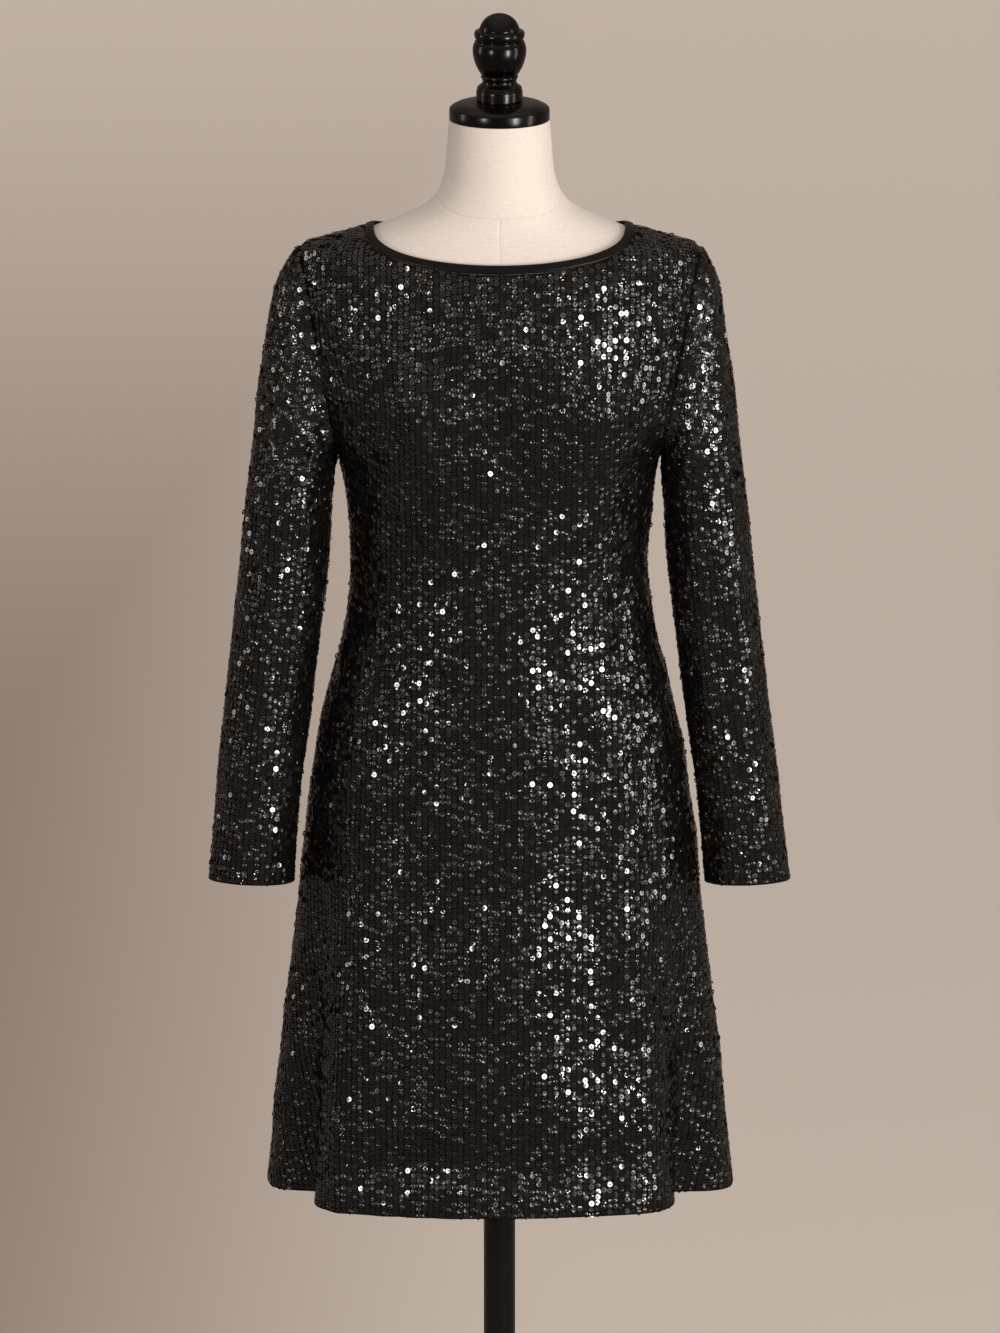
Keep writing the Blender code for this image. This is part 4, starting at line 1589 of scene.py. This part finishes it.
@dataclass
class DressFormTorso:
    """The linen-covered torso and neck, with arm plates and sewn seams."""

    body: DressBody
    cut: Cut
    plate_inset: float = 5.0
    seam_deep: float = 0.5
    seam_half: float = 0.5
    seam_degrees: tuple[float, ...] = (0.55, 1.3)  # columns beside the seams in front and behind
    seam_levels: tuple[float, ...] = (-1.3, -0.585, 0.0, 0.585, 1.3)  # rings beside the neck seam
    seam_radius: float = 60.0  # of the form, where the upright seams show
    neck_seam_at: float = 960.0
    neck_seam_side: float = 968.0
    neck_seam_front: float = 950.0
    neck_seam_back: float = 957.0
    rings: tuple[int, ...] = (70, 12, 10, 26)  # body, shoulders, neck below and above its seam
    columns: int = 59  # on each side, apart from those beside the seams
    column_step: float = 3.0  # degrees
    bent_above: float = 70.0  # how far above the neck seam rings still bend with it
    bent_below: float = 24.0
    seam_clear: float = 3.0  # from the neck seam to the evenly spaced rings
    shoulders: tuple[float, float] = (892.0, 938.0)  # heights between which rings are closer
    cut_within: float = 0.05  # a point this near the cut lies on it
    sharp: float = 50.0  # degrees between faces, above which an edge is sharp

    def levels(self) -> Array:
        """Heights of the form's rings, close together at the neck seam."""
        seam = self.neck_seam_at
        body, shoulders, neck, top = self.rings
        return np.concatenate(
            [
                np.linspace(FORM_BOTTOM, self.shoulders[0], body),
                np.linspace(*self.shoulders, shoulders)[1:],
                np.linspace(FormShape.neck_from, seam - self.seam_clear, neck),
                seam + np.array(self.seam_levels),
                np.linspace(seam + self.seam_clear, NECK_TOP, top),
            ]
        )

    def angles(self) -> Array:
        """Degrees of the form's columns, close together at the seams in front and behind."""
        seam = np.array(self.seam_degrees)
        even = np.linspace(self.column_step, 180 - self.column_step, self.columns)
        half = np.concatenate([seam, even, 180 - seam[::-1]])
        return np.concatenate([[-180.0], -half[::-1], [0.0], half, [180.0]])

    def build(self, finishes: Finishes) -> bpy.types.Object:
        """Builds the form and dresses it."""
        turn, level = np.meshgrid(np.radians(self.angles()), self.levels())
        cosine = np.cos(turn)
        at_middle = np.where(cosine > 0, self.neck_seam_front, self.neck_seam_back)
        dip = self.neck_seam_side - (self.neck_seam_side - at_middle) * np.abs(cosine)
        above = level - self.neck_seam_at
        bent = ease(1 - np.abs(above) / np.where(above > 0, self.bent_above, self.bent_below))
        points = FormShape(self.body).points(turn, level + (dip - self.neck_seam_at) * bent)
        normals = grid_normals(points)
        beside = np.sin(turn) * self.seam_radius
        upright = np.where((above < 0) | (cosine < 0), np.exp(-((beside / self.seam_half) ** 2)), 0)
        groove = np.minimum(np.exp(-((above / self.seam_half) ** 2)) + upright, 1)
        points = points - normals * (self.seam_deep * groove)[..., None]
        bm = surface(points, normals, joined=True)
        bmesh.ops.holes_fill(bm, edges=[e for e in bm.edges if e.is_boundary])
        self.cut_arm_plates(bm)
        bmesh.ops.recalc_face_normals(bm, faces=bm.faces)
        form = add_piece("form_torso_linen", bm, finishes.linen)
        form.data.set_sharp_from_angle(angle=math.radians(self.sharp))
        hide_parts("form_torso")
        return form

    def cut_arm_plates(self, bm: bmesh.types.BMesh) -> None:
        """Cuts the shoulders off flat where the arms would begin, and closes them."""
        (under_x, under), (tip_x, tip) = self.cut.underarm, self.cut.shoulder_tip
        for arm in Arm:
            out = Vector((arm.value * (tip - under), 0, under_x - tip_x)).normalized()
            start = Vector((arm.value * under_x, 0, under + HEM_ABOVE_FLOOR))
            bmesh.ops.bisect_plane(
                bm,
                geom=bm.verts[:] + bm.edges[:] + bm.faces[:],
                dist=self.cut_within * MM,
                plane_co=(start - out * self.plate_inset) * MM,
                plane_no=out,
                clear_outer=True,
            )
            bmesh.ops.holes_fill(bm, edges=[e for e in bm.edges if e.is_boundary])


@dataclass(frozen=True)
class TurnedPiece:
    """A piece turned about the stand's axis, from its top to its bottom.

    Its outline is strokes of (radius, height) points, each going on from the last one's end:
    smooth along a stroke, with an edge where one ends and the next begins.
    """

    name: str
    node: str
    slot: str
    bottom: float
    top: tuple[float, float]
    strokes: tuple[tuple[tuple[float, float], ...], ...]
    steps: int = 96
    per_span: int = 5
    sharp: float = 38.0

    def profile(self) -> Array:
        """The whole outline, each stroke rounded through its points."""
        outline = np.array([self.top], float)
        for stroke in self.strokes:
            knots = np.concatenate([outline[-1:], stroke])
            run = self.rounded(knots) if len(knots) > 2 else knots
            outline = np.concatenate([outline, run[1:]])
        return outline

    def rounded(self, knots: Array) -> Array:
        """A Catmull-Rom curve through the knots."""
        padded = np.concatenate([[2 * knots[0] - knots[1]], knots, [2 * knots[-1] - knots[-2]]])
        t = np.arange(self.per_span)[:, None] / self.per_span
        spans = [
            b
            + (c - a) * t / 2
            + (2 * a - 5 * b + 4 * c - d) * t**2 / 2
            + (3 * b - a - 3 * c + d) * t**3 / 2
            for a, b, c, d in zip(padded, padded[1:], padded[2:], padded[3:])
        ]
        return np.concatenate([*spans, knots[-1:]])

    def build(self, finish: bpy.types.Material) -> bpy.types.Object:
        """Spins the outline into the piece and dresses it."""
        bm = bmesh.new()
        outline = self.profile()
        verts = [bm.verts.new((max(r, 0) * MM, 0, (z + self.bottom) * MM)) for r, z in outline]
        edges = [bm.edges.new(pair) for pair in zip(verts, verts[1:])]
        bmesh.ops.spin(
            bm,
            geom=verts + edges,
            cent=(0, 0, 0),
            axis=(0, 0, 1),
            angle=2 * math.pi,
            steps=self.steps,
            use_merge=True,
        )
        bmesh.ops.remove_doubles(bm, verts=bm.verts, dist=WELD)
        bmesh.ops.recalc_face_normals(bm, faces=bm.faces)
        piece = add_piece(self.name, bm, finish)
        piece.data.set_sharp_from_angle(angle=math.radians(self.sharp))
        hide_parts(self.node)
        return piece


@dataclass
class Stand:
    """The turned cap and finial on the neck, the pole, and the round base."""

    fit: float = 0.3
    cap_height: float = 17.0
    socket_height: float = 34.0
    pole_radius: float = 15.0
    chamfer: float = 0.6

    def cap_bottom(self) -> float:
        """Height of the cap's underside above the floor."""
        return HEM_ABOVE_FLOOR + NECK_TOP + self.fit

    def cap(self) -> TurnedPiece:
        """The shallow turned disc that closes the neck."""
        shoulder = ((31, 16.5), (36, 15.9), (40, 14.9), (43.2, 13.5), (45.8, 12.0), (47.0, 10.8))
        return TurnedPiece(
            "neck_cap_lacquered",
            "neck_cap",
            "turned_wood",
            self.cap_bottom(),
            top=(0, self.cap_height),
            strokes=(
                ((24.5, self.cap_height),),
                ((25.2, 16.6), (26.0, 16.8)),
                (*shoulder, (47.5, 9.2)),
                ((47.5, 1.2),),
                ((47.3, 0.4), (46.8, 0.0)),
                ((0, 0),),
            ),
        )

    def finial(self) -> TurnedPiece:
        """The turned knob with its rings."""
        dome = ((4.2, 84.0), (8.2, 82.7), (12.4, 80.2), (15.6, 77.0), (17.9, 73.0), (19.2, 69.4))
        ring = ((22.4, 67.8), (23.6, 66.2), (23.9, 64.0), (23.4, 61.4), (22.4, 60.0))
        belly = ((24.5, 55.0), (25.3, 51.5), (25.4, 47.6), (24.9, 43.2), (23.7, 38.4))
        to_waist = ((22.1, 34.0), (20.2, 30.2), (18.2, 27.0), (16.9, 25.2))
        return TurnedPiece(
            "finial_lacquered",
            "finial",
            "turned_wood",
            self.cap_bottom() + self.cap_height + self.fit,
            top=(0, 84.4),
            strokes=(
                dome,
                ((19.3, 68.6), (20.2, 68.3)),
                ring,
                ((21.9, 59.4), (22.3, 58.8)),
                ((23.2, 58.2), (23.5, 57.4), (23.3, 56.7)),
                (*belly, *to_waist),
                ((17.5, 24.2), (17.6, 23.1), (17.1, 22.2)),
                ((16.3, 20.6), (16.1, 18.9), (16.6, 17.2)),
                ((18.6, 15.6), (20.5, 14.2), (21.3, 12.6)),
                ((20.9, 12.0), (21.3, 11.4)),
                ((21.9, 9.8), (22.0, 6.0), (22.0, 0.8)),
                ((21.6, 0.0),),
                ((0, 0),),
            ),
        )

    def base(self) -> TurnedPiece:
        """The weighted round base with its pole socket."""
        plate = ((60, 19.0), (100, 16.0), (150, 12.0), (168, 10.2), (175, 8.6))
        rim = ((178.8, 6.2), (180, 3.6), (179.6, 1.4), (178, 0))
        return TurnedPiece(
            "stand_base_enamelled",
            "stand_base",
            "enamelled_steel",
            bottom=0.0,
            top=(0, self.socket_height),
            strokes=(
                ((25.4, self.socket_height),),
                ((27.0, 33.6), (27.9, 32.4)),
                ((28.5, 28.5), (29.4, 25.6), (31.6, 23.4), (35.5, 21.9)),
                (*plate, *rim),
                ((0, 0),),
            ),
            steps=144,
        )

    def pole(self) -> TurnedPiece:
        """The round pole from the base's socket to the form."""
        low = self.socket_height + self.fit
        tall = HEM_ABOVE_FLOOR + FORM_BOTTOM - self.fit - low
        r, c = self.pole_radius, self.chamfer
        return TurnedPiece(
            "stand_pole_enamelled",
            "stand_pole",
            "enamelled_steel",
            low,
            top=(0, tall),
            strokes=(((r - c, tall),), ((r, tall - c),), ((r, c),), ((r - c, 0),), ((0, 0),)),
            steps=64,
        )

    def build(self, finishes: Finishes) -> None:
        """Builds the four turned pieces."""
        self.cap().build(finishes.lacquer)
        self.finial().build(finishes.lacquer)
        self.base().build(finishes.enamel)
        self.pole().build(finishes.enamel)


# ---------------------------------------------------------------------------
# Studio
# ---------------------------------------------------------------------------


def place_facing(
    name: str, data: bpy.types.ID, azimuth: float, elevation: float, aim: Vector, distance: float
) -> bpy.types.Object:
    """Places a light or a camera so that it faces a point.

    Args:
        name: Its name.
        data: The light or the camera.
        azimuth: Degrees round from the front, rising to the right.
        elevation: Degrees up.
        aim: The point that it faces, in metres.
        distance: How far from there it is.

    Returns:
        The object.
    """
    a, e = math.radians(azimuth), math.radians(elevation)
    out = Vector((math.sin(a) * math.cos(e), -math.cos(a) * math.cos(e), math.sin(e)))
    thing = add_object(name, data)
    thing.location = aim + out * distance
    thing.rotation_euler = out.to_track_quat("Z", "Y").to_euler()
    return thing


@dataclass(frozen=True)
class SoftBox:
    """A rectangular studio light, aimed at a point. Sizes and places are in metres."""

    name: str
    azimuth: float  # degrees to the right of the camera
    elevation: float
    distance: float
    size: tuple[float, float]
    radiance: float
    aim: tuple[float, float, float] = (0.0, 0.0, 1.0)
    colour: str = "FFF6EF"

    def build(self) -> None:
        """Hangs the light."""
        data = bpy.data.lights.new(self.name, "AREA")
        data.shape = "RECTANGLE"
        data.size, data.size_y = self.size
        data.energy = self.radiance * math.pi * self.size[0] * self.size[1]
        data.color = from_hex(self.colour)[:3]
        place_facing(
            self.name, data, self.azimuth, self.elevation, Vector(self.aim), self.distance
        )


@dataclass(frozen=True)
class BouncedFill:
    """Light bounced off a large screen: very soft, and flagged out of shiny things."""

    name: str
    azimuth: float  # degrees to the right of the camera
    elevation: float
    spread: float
    irradiance: float
    distance: float = 5.0

    def build(self) -> None:
        """Sets the fill up."""
        data = bpy.data.lights.new(self.name, "SUN")
        data.energy = self.irradiance
        data.angle = math.radians(self.spread)
        lamp = place_facing(
            self.name, data, self.azimuth, self.elevation, Vector(), self.distance
        )
        lamp.visible_glossy = False


@dataclass
class Studio:
    """Pale floor, soft lights, plain surround and the camera. Places are in metres."""

    floor_radius: float = 90.0
    surround: str = "FFEBDF"
    brightest: tuple[float, float, float] = (0.0, -0.17, 0.98)  # where the surround is palest
    dark_strength: float = 0.2
    pale_strength: float = 0.8
    pale_from: float = 0.4  # cosine of the angle away from there
    aim: tuple[float, float, float] = (0.0005, 0.0, 0.975)
    elevation: float = 12.8
    distance: float = 24.0
    view_height: float = 1.266
    sensor_mm: float = 36.0
    clip: tuple[float, float] = (1.0, 150.0)
    lights: tuple[SoftBox | BouncedFill, ...] = (
        SoftBox("key_softbox", 37, 7, 3.4, (0.5, 1.5), 42.0),
        SoftBox("key_scrim", 34, 6, 3.5, (1.4, 1.5), 1.4),
        SoftBox("left_strip", -35, 11, 3.4, (0.42, 0.9), 27.0),
        SoftBox("side_strip", 76, 8, 3.2, (0.35, 2.4), 10.0),
        SoftBox("left_reflector", -92, 14, 3.2, (0.5, 1.8), 5.0),
        BouncedFill("bounced_fill", 20, 46, 80, 1.05),
    )

    def build(self) -> None:
        """Sets the floor, the surround, the lights and the camera."""
        bm = bmesh.new()
        bmesh.ops.create_circle(bm, cap_ends=True, segments=128, radius=self.floor_radius)
        mesh = bpy.data.meshes.new("studio_floor")
        bm.to_mesh(mesh)
        bm.free()
        mesh.materials.append(StudioPaper().material())
        floor = add_object("studio_floor", mesh)
        floor.visible_glossy = False  # black flags keep its glare out of the sequins

        self.build_surround()
        for light in self.lights:
            light.build()
        self.place_camera()
        bpy.context.scene.view_settings.view_transform = "Standard"

    def build_surround(self) -> None:
        """Makes the surround: dim at the sides and below, paler overhead."""
        world = bpy.data.worlds.new("studio_surround")
        world.use_nodes = True
        tree = world.node_tree
        back = tree.nodes["Background"]
        back.inputs["Color"].default_value = from_hex(self.surround)
        way = add_node(tree, "ShaderNodeTexCoord", {}, {})
        toward = add_node(
            tree,
            "ShaderNodeVectorMath",
            {"operation": "DOT_PRODUCT", 1: self.brightest},
            {0: way.outputs["Generated"]},
        )
        glow = add_node(
            tree,
            "ShaderNodeMapRange",
            {
                "interpolation_type": "SMOOTHSTEP",
                "From Min": self.pale_from,
                "To Min": self.dark_strength,
                "To Max": self.pale_strength,
            },
            {"Value": toward.outputs["Value"]},
        )
        tree.links.new(glow.outputs["Result"], back.inputs["Strength"])
        bpy.context.scene.world = world

    def place_camera(self) -> None:
        """Puts a long lens in front of the dress, looking slightly down."""
        data = bpy.data.cameras.new("camera")
        data.sensor_fit = "VERTICAL"
        data.sensor_height = self.sensor_mm
        data.lens = data.sensor_height * self.distance / self.view_height
        data.clip_start, data.clip_end = self.clip
        camera = place_facing("camera", data, 0, self.elevation, Vector(self.aim), self.distance)
        bpy.context.scene.camera = camera


def main() -> None:
    """Builds every piece round the frame, then the studio."""
    logging.basicConfig(level=logging.INFO, format="%(name)s %(message)s")
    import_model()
    finishes = Finishes()
    cloth = Cloth()

    hem = SkirtHem(cloth).build(finishes)
    SequinedPanel(
        Side.FRONT,
        cloth,
        flat=(0.62, 0.93),
        area=0.42,
        hem_columns=(0, 12, 23, 34, 44, 51, 57, 62.5, 68, 73, 79, 84.5, 90),
    ).build(finishes, [hem])
    SequinedPanel(
        Side.BACK,
        cloth,
        flat=(0.62, 0.93),
        area=0.42,
        hem_columns=(0, 9, 18, 27, 36, 45, 52, 58, 64, 70, 77, 84, 90),
    ).build(finishes)
    for arm in Arm:
        SequinedSleeve(arm, cloth, flat=(0.34, 0.62), area=0.14).build(finishes)
    NeckBinding(cloth, flat=(0.0113, 0.66)).build(finishes)
    DressFormTorso(cloth.body, cloth.cut).build(finishes)
    Stand().build(finishes)
    Studio().build()


if __name__ == "__main__":
    main()
